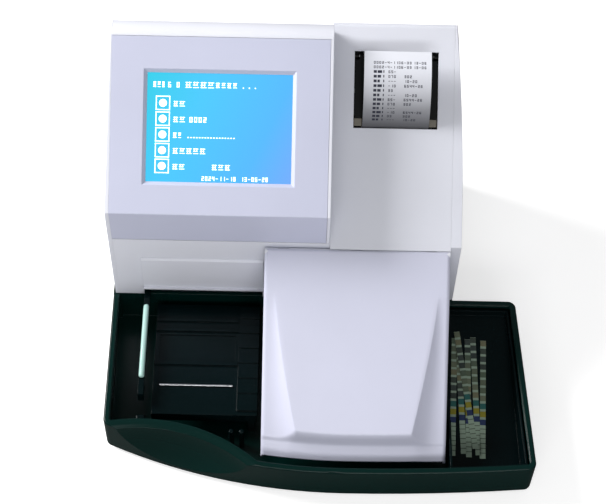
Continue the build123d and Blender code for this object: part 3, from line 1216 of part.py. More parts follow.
def thermal_head():
    """Print head bar pressed against the platen from the front wall."""
    y1 = PLATEN_V - PLATEN_R - 1.0
    head = block(POCKET_X - PAPER_W / 2, POCKET_X + PAPER_W / 2, POCKET_UP + SEAT, y1, PLATEN_D - 9, PLATEN_D + 3)
    return on_printer(head)


def printer_motor():
    """Small stepper beside the well, its pinion facing the platen's gear."""
    x0 = POCKET_X0 - 3 - 12
    body = Pos(x0 + 6, PLATEN_V + 4, PLATEN_D - 12) * Rot(0, 90, 0) * Cylinder(8.0, 12.0)
    tabs = block(x0 + 10.5, x0 + 12, PLATEN_V - 8, PLATEN_V + 16, PLATEN_D - 15, PLATEN_D - 9)
    return on_printer(body + tabs)


def paper_roll():
    axis = Pos(POCKET_X, ROLL_V, ROLL_D) * Rot(0, 90, 0)
    return on_printer(axis * Cylinder(ROLL_R, PAPER_W) - axis * Cylinder(ROLL_CORE_R, PAPER_W + 2))


def roll_spindle():
    axis = Pos(POCKET_X, ROLL_V, ROLL_D) * Rot(0, 90, 0)
    return on_printer(axis * Cylinder(2.0, POCKET_W + 1.6) + axis * Cylinder(ROLL_CORE_R - RUN, PAPER_W))


def printed_paper():
    """Printout: out of the slot, then curling back over the door."""
    low = (DOOR_LOW_V - 0.9, -3.0)
    turn = (POCKET_UP + 12.0, PAPER_RISE * 0.62)
    top = (POCKET_TOP - 2.0, PAPER_RISE)
    inner = ThreePointArc(low, turn, top)
    outer = offset_arc(low, turn, top, PAPER_T)
    face = make_face(Wire([inner, Line(inner @ 1, outer @ 1), outer, Line(outer @ 0, inner @ 0)]))
    plane = Plane((POCKET_X - PAPER_W / 2, 0, 0), x_dir=(0, 1, 0), z_dir=(1, 0, 0))
    return on_printer(extrude(plane * face, PAPER_W))


def offset_arc(a, b, c, distance):
    """Arc through three points, moved out from its centre."""
    ax, ay, bx, by, cx, cy = *a, *b, *c
    d = 2 * (ax * (by - cy) + bx * (cy - ay) + cx * (ay - by))
    ux = ((ax ** 2 + ay ** 2) * (by - cy) + (bx ** 2 + by ** 2) * (cy - ay) + (cx ** 2 + cy ** 2) * (ay - by)) / d
    uy = ((ax ** 2 + ay ** 2) * (cx - bx) + (bx ** 2 + by ** 2) * (ax - cx) + (cx ** 2 + cy ** 2) * (bx - ax)) / d
    moved = []
    for px, py in (a, b, c):
        radius = math.hypot(px - ux, py - uy)
        moved.append((ux + (px - ux) * (radius + distance) / radius,
                      uy + (py - uy) * (radius + distance) / radius))
    return ThreePointArc(*moved)


# ================================================================ electrics
def main_board():
    """Upright processor board ahead of the rear panel, with its parts."""
    y1 = Y_BACK - TUB_T - 12
    x1 = TOP_RIGHT - 8
    x0 = x1 - MAIN_BOARD_W
    z0 = PORTS_Z - 14
    parts = [block(x0, x1, y1 - BOARD_T, y1, z0, z0 + MAIN_BOARD_H)]
    for x, z, w, h, t in MAIN_BOARD_CHIPS:
        parts.append(block(x0 + x - w / 2, x0 + x + w / 2, y1 - BOARD_T - t, y1 - BOARD_T, z0 + z - h / 2, z0 + z + h / 2))
    for x in (x0 + 6, x1 - 6):
        for z in (z0 + 6, z0 + MAIN_BOARD_H - 6):
            parts.append(rod_y(x, y1 - 0.5, Y_BACK - TUB_T, z, 3.0))
    return joined(parts)


def io_ports():
    """Two serial sockets and a small data socket on the rear panel."""
    y0 = Y_BACK - TUB_T - 12
    shells = []
    for x, width, height in PORTS:
        shell = block(x - width / 2, x + width / 2, y0, Y_BACK, PORTS_Z - height / 2, PORTS_Z + height / 2)
        mouth = block(x - width / 2 + 3, x + width / 2 - 3, Y_BACK - 7, Y_BACK + 1,
                      PORTS_Z - height / 2 + 2, PORTS_Z + height / 2 - 2)
        shells.append(shell - mouth)
    return group(shells)


def inlet_socket():
    """Three-pin mains inlet let into the rear panel."""
    flange = block(INLET_U - INLET_W / 2, INLET_U + INLET_W / 2, Y_BACK - TUB_T, Y_BACK,
                   INLET_Z - INLET_H / 2, INLET_Z + INLET_H / 2)
    body = block(INLET_U - 12, INLET_U + 12, Y_BACK - 24, Y_BACK - TUB_T + 1, INLET_Z - 9, INLET_Z + 9)
    room = block(INLET_U - 10.5, INLET_U + 10.5, Y_BACK - 20, Y_BACK + 1, INLET_Z - 7, INLET_Z + 7)
    pins = [block(INLET_U + x - 1, INLET_U + x + 1, Y_BACK - 21, Y_BACK - 6, INLET_Z + z - 2, INLET_Z + z + 2)
            for x, z in ((-5, -1.5), (0, 2), (5, -1.5))]
    return joined([flange + body - room] + pins)


def fuse_holder():
    cap = rod_y(FUSE_U, Y_BACK - 20, Y_BACK, INLET_Z, FUSE_R - RUN)
    return cap - block(FUSE_U - 4, FUSE_U + 4, Y_BACK - 1.2, Y_BACK + 1, INLET_Z - 0.8, INLET_Z + 0.8)


def switch_body():
    """Frame of the mains switch."""
    frame = block(SWITCH_U - SWITCH_W / 2, SWITCH_U + SWITCH_W / 2, Y_BACK - 16, Y_BACK,
                  INLET_Z - SWITCH_H / 2, INLET_Z + SWITCH_H / 2)
    room = block(SWITCH_U - SWITCH_W / 2 + 2, SWITCH_U + SWITCH_W / 2 - 2, Y_BACK - 13, Y_BACK + 1,
                 INLET_Z - SWITCH_H / 2 + 1.5, INLET_Z + SWITCH_H / 2 - 1.5)
    pivot = rod_z(SWITCH_U, Y_BACK - 6, INLET_Z - SWITCH_H / 2 + 1, INLET_Z + SWITCH_H / 2 - 1, 1.2)
    return frame - room + pivot


def power_rocker():
    """Rocker on the switch's pivot, shown with its left end pressed."""
    half = SWITCH_W / 2 - 2 - JOIN
    high = SWITCH_H / 2 - 1.5 - JOIN
    key = prism_rocker(half, high)
    return key - rod_z(SWITCH_U, Y_BACK - 6, INLET_Z - SWITCH_H, INLET_Z + SWITCH_H, 1.2 + RUN)


def prism_rocker(half, high):
    drop = math.tan(math.radians(SWITCH_TILT)) * half
    face = make_face(Polyline([(SWITCH_U - half + 0.6, Y_BACK - 9), (SWITCH_U + half - 0.6, Y_BACK - 9),
                               (SWITCH_U + half - 1.2, Y_BACK - 0.6 - 2 * drop), (SWITCH_U, Y_BACK - 2.2),
                               (SWITCH_U - half + 1.2, Y_BACK - 0.6)], close=True))
    return prism_z(face, INLET_Z - high, INLET_Z + high)


def power_supply():
    x0 = X_LEFT + 12
    y1 = Y_BACK - TUB_T - BOSS_D - 3
    y0 = y1 - SUPPLY_D
    x1 = x0 + SUPPLY_W
    tray = block(x0, x1, y0, y1, CHASSIS_Z, CHASSIS_Z + 1.5)
    board = block(x0 + 2, x1 - 2, y0 + 2, y1 - 2, CHASSIS_Z + 6, CHASSIS_Z + 6 + BOARD_T)
    posts = [rod_z(x, y, CHASSIS_Z + 1, CHASSIS_Z + 7, 2.5) for x in (x0 + 6, x1 - 6) for y in (y0 + 6, y1 - 6)]
    bits = [block(x0 + 36, x0 + 62, y0 + 20, y0 + 44, CHASSIS_Z + 7, CHASSIS_Z + 30),
            block(x0 + 74, x0 + 78, y0 + 8, y0 + 54, CHASSIS_Z + 7, CHASSIS_Z + 28)]
    caps = [rod_z(x0 + 20, y0 + 18 + i * 22, CHASSIS_Z + 7, CHASSIS_Z + 32, 8) for i in range(2)]
    return joined([tray, board] + posts + bits + caps)


def case_screws():
    """Screws of the rear panel."""
    places = panel_screw_places(LOW_SCREW_Z) + panel_screw_places(HIGH_SCREW_Z)
    return group([Pos(x, Y_BACK - SCREW_SINK, z) * Rot(-90, 0, 0) * screw(SCREW_HOLE_R, 7.0)
                  for x, z in places])


SCREEN_U = TOP_LEFT + SCREEN_X


NODES = {
    "base_tray": base_tray, "rubber_feet": rubber_feet, "chassis_plate": chassis_plate,
    "side_panel_left": side_panel_left, "side_panel_right": side_panel_right,
    "front_wall": front_wall, "strip_hood": strip_hood, "display_housing": display_housing,
    "display_fascia": display_fascia, "touch_panel": touch_panel, "lcd_module": lcd_module,
    "display_board": display_board, "printer_housing": printer_housing, "rear_panel": rear_panel,
    "case_screws": case_screws, "front_cover": front_cover, "cover_pin": cover_pin,
    "strip_platform": strip_platform, "slide_rail": slide_rail,
    "stop_posts": stop_posts, "conveyor_deck": conveyor_deck, "conveyor_rake": conveyor_rake,
    "conveyor_guide_rod": conveyor_guide_rod, "conveyor_pinion": conveyor_pinion,
    "conveyor_motor": conveyor_motor, "mechanism_frame": mechanism_frame, "guide_rods": guide_rods,
    "pusher_carriage": pusher_carriage, "pusher_arm": pusher_arm, "pusher_rod": pusher_rod,
    "idler_pulley": idler_pulley, "idler_axle": idler_axle, "drive_pulley": drive_pulley,
    "pusher_belt": pusher_belt, "pusher_motor": pusher_motor, "optics_bracket": optics_bracket,
    "optics_rails": optics_rails, "optical_head": optical_head, "optical_lens": optical_lens,
    "lead_screw": lead_screw, "optics_motor": optics_motor, "waste_bin": waste_bin,
    "used_strips": used_strips, "printer_frame": printer_frame, "door_pin": door_pin,
    "printer_door": printer_door, "platen_roller": platen_roller, "platen_gear": platen_gear,
    "thermal_head": thermal_head, "printer_motor": printer_motor, "paper_roll": paper_roll, "roll_spindle": roll_spindle, "printed_paper": printed_paper,
    "main_board": main_board, "io_ports": io_ports, "inlet_socket": inlet_socket,
    "fuse_holder": fuse_holder, "switch_body": switch_body, "power_rocker": power_rocker,
    "power_supply": power_supply,
}


os.makedirs("parts", exist_ok=True)
for name, make in NODES.items():
    export_step(make(), f"parts/{name}.step")
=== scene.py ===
"""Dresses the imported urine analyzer: camera, soft studio light, finishes and fine pieces."""
import json
import math

import bmesh
import bpy
from mathutils import Matrix, Vector


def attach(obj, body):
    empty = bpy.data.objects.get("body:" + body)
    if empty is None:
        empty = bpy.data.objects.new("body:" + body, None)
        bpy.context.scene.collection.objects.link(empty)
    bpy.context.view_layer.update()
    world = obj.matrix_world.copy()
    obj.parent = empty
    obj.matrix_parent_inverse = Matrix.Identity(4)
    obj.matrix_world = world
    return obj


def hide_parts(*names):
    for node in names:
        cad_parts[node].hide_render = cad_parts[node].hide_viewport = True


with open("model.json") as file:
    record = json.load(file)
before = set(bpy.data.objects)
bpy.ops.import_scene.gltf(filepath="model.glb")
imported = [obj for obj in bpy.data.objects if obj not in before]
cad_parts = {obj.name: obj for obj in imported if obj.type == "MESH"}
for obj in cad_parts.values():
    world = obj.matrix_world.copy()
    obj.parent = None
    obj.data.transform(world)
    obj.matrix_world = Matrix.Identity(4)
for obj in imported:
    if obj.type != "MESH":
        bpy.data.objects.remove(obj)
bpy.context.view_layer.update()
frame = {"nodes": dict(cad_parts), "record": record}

MM = 0.001

# ------------------------------------------------------------ sizes of the part, millimetres
Y_WALL = 4.0
Y_FRONT = -169.0
PANEL_SLOPE = math.radians(32.0)
DISPLAY_ORIGIN = (0.0, Y_WALL, 176.517)
PRINTER_ORIGIN = (0.0, Y_WALL, 134.317)
SCREEN_U, SCREEN_V = -89.4, 73.5
SCREEN_W, SCREEN_H = 122.0, 91.5
SCREEN_SINK = 3.0
COVER_LEFT, COVER_RIGHT = -49.8, 109.7
COVER_SLOPE = math.radians(30.3)
COVER_Z = 134.317
COVER_WALL = 2.5
HINGE_Y, HINGE_Z = 0.4, 128.739
BARREL_R = 3.0              # hinge barrel, open at the lugs of the case
LUG_W = 8.0
LUG_IN = 12.0
LUGS = (COVER_LEFT + LUG_IN, (COVER_LEFT + COVER_RIGHT - LUG_W) / 2, COVER_RIGHT - LUG_IN - LUG_W)
KINK_X = 22.0               # the front line's two arcs meet here
LEFT_R, RIGHT_R = 522.3, 1750.3
BEND_L = 163.0              # down the cover's slope, from the front wall to its front bend
BEND_Y = Y_WALL - BEND_L * math.cos(COVER_SLOPE)
BIN_X0, BIN_WALL = 112.7, 1.8


# ------------------------------------------------------------ node materials
def node_tree(name):
    material = bpy.data.materials.new(name)
    material.use_nodes = True
    tree = material.node_tree
    shader = tree.nodes["Principled BSDF"]
    return material, tree, shader


def add(tree, kind, **values):
    node = tree.nodes.new(kind)
    for key, value in values.items():
        if hasattr(node, key):
            setattr(node, key, value)
        else:
            node.inputs[key].default_value = value
    return node


def linear(rgb):
    """sRGB bytes to the linear colour that a shader takes."""
    parts = []
    for byte in rgb:
        c = byte / 255
        parts.append(c / 12.92 if c <= 0.04045 else ((c + 0.055) / 1.055) ** 2.4)
    return (*parts, 1.0)


def ramp(tree, source, stops):
    node = tree.nodes.new("ShaderNodeValToRGB")
    elements = node.color_ramp.elements
    while len(elements) < len(stops):
        elements.new(0.5)
    for element, (place, colour) in zip(elements, stops):
        element.position = place
        element.color = colour
    tree.links.new(source, node.inputs["Fac"])
    return node


def surface_normal(tree, shader, height, strength, distance, edge):
    """Fine bump over edges that are rounded a little."""
    bump = add(tree, "ShaderNodeBump", Strength=strength, Distance=distance)
    tree.links.new(height, bump.inputs["Height"])
    if edge:
        bevel = add(tree, "ShaderNodeBevel", samples=6, Radius=edge)
        tree.links.new(bevel.outputs["Normal"], bump.inputs["Normal"])
    tree.links.new(bump.outputs["Normal"], shader.inputs["Normal"])


def moulded(name, rgb, roughness, grain=900.0, grain_depth=0.00006, mottle=0.03, edge=0.0006,
            specular=0.5):
    """Moulded plastic: fine grain, a slight drift of tone, and rounded edges."""
    material, tree, shader = node_tree(name)
    place = add(tree, "ShaderNodeTexCoord")
    fine = add(tree, "ShaderNodeTexNoise", Scale=grain, Detail=3.0)
    broad = add(tree, "ShaderNodeTexNoise", Scale=9.0, Detail=4.0)
    for noise in (fine, broad):
        tree.links.new(place.outputs["Object"], noise.inputs["Vector"])
    colour = linear(rgb)
    low = tuple(c * (1 - mottle) for c in colour[:3]) + (1.0,)
    high = tuple(min(c * (1 + mottle), 1.0) for c in colour[:3]) + (1.0,)
    tone = ramp(tree, broad.outputs["Fac"], [(0.3, low), (0.7, high)])
    tree.links.new(tone.outputs["Color"], shader.inputs["Base Color"])
    wear = add(tree, "ShaderNodeMapRange")
    for key, value in (("To Min", roughness * 0.88), ("To Max", min(roughness * 1.12, 1.0))):
        wear.inputs[key].default_value = value
    tree.links.new(broad.outputs["Fac"], wear.inputs["Value"])
    tree.links.new(wear.outputs["Result"], shader.inputs["Roughness"])
    shader.inputs["Specular IOR Level"].default_value = specular
    surface_normal(tree, shader, fine.outputs["Fac"], 0.5, grain_depth, edge)
    return material


def metal(name, rgb, roughness, brushed=0.0):
    """Metal with fine brushing along X, or polished where brushed is 0."""
    material, tree, shader = node_tree(name)
    shader.inputs["Metallic"].default_value = 1.0
    place = add(tree, "ShaderNodeTexCoord")
    stretch = add(tree, "ShaderNodeMapping", Scale=(12.0, 900.0, 900.0) if brushed else (60.0, 60.0, 60.0))
    noise = add(tree, "ShaderNodeTexNoise", Scale=1.0, Detail=4.0)
    tree.links.new(place.outputs["Object"], stretch.inputs["Vector"])
    tree.links.new(stretch.outputs["Vector"], noise.inputs["Vector"])
    colour = linear(rgb)
    dull = tuple(c * 0.85 for c in colour[:3]) + (1.0,)
    tone = ramp(tree, noise.outputs["Fac"], [(0.3, dull), (0.75, colour)])
    tree.links.new(tone.outputs["Color"], shader.inputs["Base Color"])
    rough = add(tree, "ShaderNodeMapRange")
    rough.inputs["To Min"].default_value = roughness * 0.7
    rough.inputs["To Max"].default_value = roughness * 1.3
    tree.links.new(noise.outputs["Fac"], rough.inputs["Value"])
    tree.links.new(rough.outputs["Result"], shader.inputs["Roughness"])
    surface_normal(tree, shader, noise.outputs["Fac"], 0.3, 0.00003 + brushed * 0.00004, 0.0004)
    return material


def glowing(name, stops, strength):
    """Lit screen: colour drifts from the left to the lower right."""
    material, tree, shader = node_tree(name)
    place = add(tree, "ShaderNodeTexCoord")
    split = add(tree, "ShaderNodeSeparateXYZ")
    tree.links.new(place.outputs["UV"], split.inputs["Vector"])
    down = add(tree, "ShaderNodeMath", operation="MULTIPLY")
    down.inputs[1].default_value = -0.35
    total = add(tree, "ShaderNodeMath", operation="ADD")
    tree.links.new(split.outputs["Y"], down.inputs[0])
    tree.links.new(split.outputs["X"], total.inputs[0])
    tree.links.new(down.outputs["Value"], total.inputs[1])
    shift = add(tree, "ShaderNodeMapRange")
    shift.inputs["From Min"].default_value = -0.35
    shift.inputs["From Max"].default_value = 1.0
    tree.links.new(total.outputs["Value"], shift.inputs["Value"])
    tone = ramp(tree, shift.outputs["Result"], stops)
    tree.links.new(tone.outputs["Color"], shader.inputs["Emission Color"])
    shader.inputs["Emission Strength"].default_value = strength
    shader.inputs["Base Color"].default_value = (0.01, 0.02, 0.03, 1.0)
    shader.inputs["Roughness"].default_value = 0.25
    return material


def plain_glow(name, rgb, strength):
    material, _, shader = node_tree(name)
    shader.inputs["Emission Color"].default_value = linear(rgb)
    shader.inputs["Emission Strength"].default_value = strength
    shader.inputs["Base Color"].default_value = linear(rgb)
    return material


def board(name, rgb):
    """Circuit board lacquer with faint tracks."""
    material, tree, shader = node_tree(name)
    place = add(tree, "ShaderNodeTexCoord")
    bricks = add(tree, "ShaderNodeTexBrick", Scale=60.0)
    bricks.inputs["Color1"].default_value = linear(rgb)
    bricks.inputs["Color2"].default_value = tuple(c * 1.5 for c in linear(rgb)[:3]) + (1.0,)
    bricks.inputs["Mortar"].default_value = (0.30, 0.25, 0.08, 1.0)
    bricks.inputs["Mortar Size"].default_value = 0.006
    tree.links.new(place.outputs["Object"], bricks.inputs["Vector"])
    tree.links.new(bricks.outputs["Color"], shader.inputs["Base Color"])
    shader.inputs["Roughness"].default_value = 0.35
    return material


def lens(name):
    material, tree, shader = node_tree(name)
    shader.inputs["Transmission Weight"].default_value = 1.0
    shader.inputs["Roughness"].default_value = 0.03
    shader.inputs["Base Color"].default_value = (0.85, 0.92, 1.0, 1.0)
    return material


def paper(name, rgb):
    """Thermal paper with painted shade: darker towards the slot, with a painted highlight above its own
    colour at the upper end.
    """
    material, tree, shader = node_tree(name)
    place = add(tree, "ShaderNodeTexCoord")
    fine = add(tree, "ShaderNodeTexNoise", Scale=1600.0, Detail=3.0)
    tree.links.new(place.outputs["Object"], fine.inputs["Vector"])
    split = add(tree, "ShaderNodeSeparateXYZ")
    tree.links.new(place.outputs["Generated"], split.inputs["Vector"])
    colour = linear(rgb)
    # Painted shade and highlight: the colour runs from a fifth of itself near the slot to 1.3 times itself
    # at the top, along the paper's height.
    tones = [(at, tuple(c * share for c in colour[:3]) + (1.0,)) for at, share in
             ((0.12, 0.22), (0.42, 0.52), (0.62, 0.82), (0.95, 1.3))]
    tone = ramp(tree, split.outputs["Z"], tones)
    tree.links.new(tone.outputs["Color"], shader.inputs["Base Color"])
    shader.inputs["Roughness"].default_value = 0.55
    surface_normal(tree, shader, fine.outputs["Fac"], 0.4, 0.00003, 0.0)
    return material


MATERIALS = {
    "tray_green": moulded("tray_green", (2, 32, 29), 0.22, grain=700.0, grain_depth=0.00002,
                          mottle=0.08, edge=0.0010, specular=0.24),
    "dark_plastic": moulded("dark_plastic", (2, 15, 17), 0.26, grain=800.0, grain_depth=0.00003,
                            mottle=0.08, edge=0.0006, specular=0.14),
    "shell_white": moulded("shell_white", (226, 228, 238), 0.42, edge=0.0008),
    "cover_grey": moulded("cover_grey", (210, 212, 231), 0.42, edge=0.0005),
    "beige": moulded("beige", (124, 119, 108), 0.5, edge=0.0002),
    "fascia_grey": moulded("fascia_grey", (198, 201, 222), 0.38, edge=0.0006),
    "touch_glass": moulded("touch_glass", (20, 40, 60), 0.12, grain=300.0, grain_depth=0.000005,
                           mottle=0.02, edge=0.0),
    "black_plastic": moulded("black_plastic", (3, 5, 6), 0.28, grain=900.0, grain_depth=0.00003,
                             mottle=0.08, edge=0.0005, specular=0.12),
    "rod_mint": moulded("rod_mint", (168, 204, 197), 0.14, grain=400.0, grain_depth=0.00001,
                        mottle=0.03, edge=0.0003),
    "steel": metal("steel", (176, 178, 182), 0.34, brushed=1.0),
    "chrome": metal("chrome", (222, 223, 226), 0.14),
    "rubber_black": moulded("rubber_black", (24, 24, 25), 0.75, grain=1500.0, grain_depth=0.0001,
                            mottle=0.08, edge=0.0006),
    "paper_white": paper("paper_white", (206, 208, 216)),
    "strip_paper": moulded("strip_paper", (138, 158, 140), 0.5, grain=1600.0, grain_depth=0.00003,
                           mottle=0.03, edge=0.0),
    "board_green": board("board_green", (18, 84, 48)),
    "motor_black": moulded("motor_black", (28, 28, 31), 0.45, grain=500.0, grain_depth=0.00003,
                           mottle=0.1, edge=0.0008),
    "lens_glass": lens("lens_glass"),
    "belt_black": moulded("belt_black", (20, 20, 20), 0.8, grain=2000.0, grain_depth=0.0002, mottle=0.1,
                          edge=0.0),
    "nylon_white": moulded("nylon_white", (212, 212, 200), 0.4, grain=900.0, grain_depth=0.00004,
                           mottle=0.04, edge=0.0004),
}
slot_of = {row["node"]: row["material_slot"] for row in frame["record"]["subparts"]}
for node_name, node in frame["nodes"].items():
    node.data.materials.clear()
    node.data.materials.append(MATERIALS[slot_of[node_name]])


# ------------------------------------------------------------ mesh helpers
def panel_matrix(origin):
    """Frame on a sloped panel: x right, y up the slope, z out of it, in metres."""
    c, s = math.cos(PANEL_SLOPE), math.sin(PANEL_SLOPE)
    turn = Matrix(((1, 0, 0, 0), (0, c, -s, 0), (0, s, c, 0), (0, 0, 0, 1)))
    return Matrix.Translation(Vector(origin) * MM) @ turn


ON_DISPLAY = panel_matrix(DISPLAY_ORIGIN)
ON_PRINTER = panel_matrix(PRINTER_ORIGIN)


def piece(name, mesh_builder, body, materials, smooth=False):
    """New object from a bmesh, riding on a body."""
    mesh = bpy.data.meshes.new(name)
    bm = bmesh.new()
    mesh_builder(bm)
    bm.to_mesh(mesh)
    bm.free()
    for material in materials:
        mesh.materials.append(material)
    if smooth:
        mesh.polygons.foreach_set("use_smooth", [True] * len(mesh.polygons))
    obj = bpy.data.objects.new(name, mesh)
    bpy.context.scene.collection.objects.link(obj)
    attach(obj, body)
    return obj


def add_box(bm, x0, x1, y0, y1, z0, z1, matrix, index=0):
    """Box between two corners in millimetres, placed by a matrix."""
    corners = [bm.verts.new(matrix @ (Vector((x, y, z)) * MM))
               for z in (z0, z1) for y in (y0, y1) for x in (x0, x1)]
    for face in ((0, 2, 3, 1), (4, 5, 7, 6), (0, 1, 5, 4), (2, 6, 7, 3), (0, 4, 6, 2), (1, 3, 7, 5)):
        made = bm.faces.new([corners[i] for i in face])
        made.material_index = index


# ------------------------------------------------------------ screen
MARK_H = 0.06
PICTURE_LIFT, MARK_LIFT = 0.01, 0.02    # picture and marks above the screen's face
PICTURE_OVER = 0.5                      # picture past the window's edge
STROKE = 0.62
LINES, LINE_SHORT = (0.0, 0.42, 0.84), 0.8      # heights of a word's lines, and its middle line's length
POSTS = (0.15, 0.62)
DIGIT_PITCH = 1.55
CELL, CELL_PEN, CELL_IN, CELL_DOWN, CELL_PITCH = 12.0, 0.8, 7.4, 19.5, 13.2
DOT_R = 3.3
WORD_IN, WORD_UP, WORD_H, WORD_GAP = 15.0, 3.4, 4.4, 1.3
MENU = ((WORD_H, (3.6, 4.6)), (WORD_H, (4.0, 4.4)), (WORD_H, (3.0, 2.4)),
        (4.6, (4.4, 4.4, 4.4, 4.4, 4.4)), (WORD_H, (4.2, 4.6)))
HEADING = ((5.0, 12.2, 4.6, (2.4, 2.4, 2.0), WORD_GAP), (32.0, 12.4, 5.0, (5.0, 5.0, 5.0, 5.0), WORD_GAP),
           (57.5, 12.0, 4.2, (3.2, 3.2, 3.2, 3.2), 1.6))
HEADING_DOWN, HEADING_FIGURE_IN, HEADING_FIGURE_W, HEADING_PEN = 12.2, 17.5, 2.3, 0.7
TRAIL_IN, TRAIL_PITCH, TRAIL_W = 80.0, 5.0, 1.0
FIGURES_IN, FIGURE_W, FIGURE_PEN = 28.5, 2.5, 0.75
BLANK_IN, BLANKS, BLANK_PITCH, BLANK_W, BLANK_H = 27.0, 17, 2.4, 1.4, 0.9
SECOND_IN, SECOND_WORDS = 48.0, (4.2, 4.2, 4.2)
DATE_DOWN, DATE_IN, CLOCK_IN, DATE_W, DATE_H, DATE_PEN = 90.0, 47.0, 80.0, 1.9, 3.6, 0.6
SEGMENTS = {"0": "abcdef", "1": "bc", "2": "abged", "3": "abgcd", "4": "fgbc", "5": "afgcd", "6": "afgedc",
            "7": "abc", "8": "abcdefg", "9": "abcdfg", "-": "g"}


def digit(place_bar, x, y, width, height, pen, char):
    """Seven-segment figure made of bars."""
    half = height / 2
    x1, y1 = x + width, y + height
    bars = {"a": (x, x1, y1 - pen, y1), "g": (x, x1, y + half - pen / 2, y + half + pen / 2),
            "d": (x, x1, y, y + pen), "f": (x, x + pen, y + half, y1), "e": (x, x + pen, y, y + half),
            "b": (x1 - pen, x1, y + half, y1), "c": (x1 - pen, x1, y, y + half)}
    for name in SEGMENTS.get(char, ""):
        place_bar(*bars[name])


def digits(place_bar, x, y, width, height, pen, text):
    """Row of plain figures; other characters leave a space."""
    for i, char in enumerate(text):
        digit(place_bar, x + i * width * DIGIT_PITCH, y, width, height, pen, char)


def screen_image(bm):
    """Lit picture behind the window, one face with its own UV square."""
    z0 = -SCREEN_SINK + PICTURE_LIFT
    x0, y0 = SCREEN_U - SCREEN_W / 2 - PICTURE_OVER, SCREEN_V - SCREEN_H / 2 - PICTURE_OVER
    x1, y1 = x0 + SCREEN_W + 2 * PICTURE_OVER, y0 + SCREEN_H + 2 * PICTURE_OVER
    corners = [bm.verts.new(ON_DISPLAY @ (Vector((x, y, z0)) * MM))
               for x, y in ((x0, y0), (x1, y0), (x1, y1), (x0, y1))]
    face = bm.faces.new(corners)
    uv = bm.loops.layers.uv.new("UVMap")
    for loop, place in zip(face.loops, ((0, 0), (1, 0), (1, 1), (0, 1))):
        loop[uv].uv = place


def screen_marks(bm):
    """Menu boxes with round buttons, bars for words and plain figures."""
    left = SCREEN_U - SCREEN_W / 2
    top = SCREEN_V + SCREEN_H / 2

    def bar(x0, x1, y0, y1):
        add_box(bm, x0, x1, y0, y1, -SCREEN_SINK + MARK_LIFT, -SCREEN_SINK + MARK_H, ON_DISPLAY)

    def words(x, y, height, lengths, gap=WORD_GAP):
        """Row of small stroke patterns, one for each length."""
        for i, length in enumerate(lengths):
            for share in LINES:
                reach = length * (LINE_SHORT if share == LINES[1] else 1.0)
                bar(x, x + reach, y + height * share, y + height * share + STROKE)
            for share in POSTS:
                foot = y + height * (LINES[1] if i % 2 else 0.0)
                bar(x + length * share, x + length * share + STROKE, foot, y + height)
            x += length + gap

    x0 = left + CELL_IN
    x1 = x0 + CELL
    word_rows = []
    for i, (height, lengths) in enumerate(MENU):
        y1 = top - CELL_DOWN - i * CELL_PITCH
        y0 = y1 - CELL
        for side in ((x0, x1, y0, y0 + CELL_PEN), (x0, x1, y1 - CELL_PEN, y1),
                     (x0, x0 + CELL_PEN, y0, y1), (x1 - CELL_PEN, x1, y0, y1)):
            bar(*side)
        centre = ON_DISPLAY @ (Vector((x0 + CELL / 2, y0 + CELL / 2, -SCREEN_SINK + MARK_H)) * MM)
        bmesh.ops.create_circle(bm, cap_ends=True, radius=DOT_R * MM, segments=24,
                                matrix=Matrix.Translation(centre) @ ON_DISPLAY.to_3x3().to_4x4())
        word_rows.append(y0 + WORD_UP)
        words(x0 + WORD_IN, word_rows[i], height, lengths)
    digits(bar, x0 + FIGURES_IN, word_rows[1], FIGURE_W, WORD_H, FIGURE_PEN, "0002")
    for k in range(BLANKS):
        start = x0 + BLANK_IN + k * BLANK_PITCH
        bar(start, start + BLANK_W, word_rows[2], word_rows[2] + BLANK_H)
    words(x0 + SECOND_IN, word_rows[4], WORD_H, SECOND_WORDS)
    for along, down, height, lengths, gap in HEADING:
        words(left + along, top - down, height, lengths, gap)
    digits(bar, left + HEADING_FIGURE_IN, top - HEADING_DOWN, HEADING_FIGURE_W, WORD_H, HEADING_PEN, "6 0")
    for k in range(3):
        start = left + TRAIL_IN + k * TRAIL_PITCH
        bar(start, start + TRAIL_W, top - HEADING_DOWN, top - HEADING_DOWN + TRAIL_W)
    for along, figures in ((DATE_IN, "2024-11-18"), (CLOCK_IN, "13-06-28")):
        digits(bar, left + along, top - DATE_DOWN, DATE_W, DATE_H, DATE_PEN, figures)


piece("screen_image", screen_image, "case",
      [glowing("screen_blue", [(0.0, linear((38, 206, 232))), (0.35, linear((64, 198, 250))),
                               (0.75, linear((70, 180, 250))), (1.0, linear((104, 164, 246)))], 1.0)])
piece("screen_marks", screen_marks, "case",
      [plain_glow("screen_white", (236, 250, 255), 1.0)])


# ------------------------------------------------------------ printout
POCKET_X = 60.0
ROWS, ROW_H, ROW_LOW, ROW_HIGH = 14, 2.3, 0.14, 0.84
PAPER_LOW, PAPER_TURN, PAPER_TOP = (101.7, -3.0), (113.0, 10.54), (165.0, 17.0)
PAPER_T, INK_LIFT = 0.4, 0.03
PRINT_LEFT, PRINT_NAME, PRINT_TICK = -20.5, -17.2, -12.4     # columns, from the paper's middle
PRINT_RESULT, PRINT_VALUE, PRINT_TIME = -8.0, 5.5, 13.0
PRINT_DIGIT_W, PRINT_PEN = 1.5, 0.45
MARK_W, NAME_W, NAME_STEP, TICK_W, TICK_UP = 2.6, 2.0, 0.9, 0.9, 0.2
RESULTS = ("---", "33", "-10", "---", "070", "65-")
VALUES = ("10-20", "302", "6544-26")


def circle_through(a, b, c):
    """Centre and radius of the circle through three points."""
    (ax, ay), (bx, by), (cx, cy) = a, b, c
    d = 2 * (ax * (by - cy) + bx * (cy - ay) + cx * (ay - by))
    aa, bb, cc = ax * ax + ay * ay, bx * bx + by * by, cx * cx + cy * cy
    ux = (aa * (by - cy) + bb * (cy - ay) + cc * (ay - by)) / d
    uy = (aa * (cx - bx) + bb * (ax - cx) + cc * (bx - ax)) / d
    return ux, uy, math.hypot(ax - ux, ay - uy)


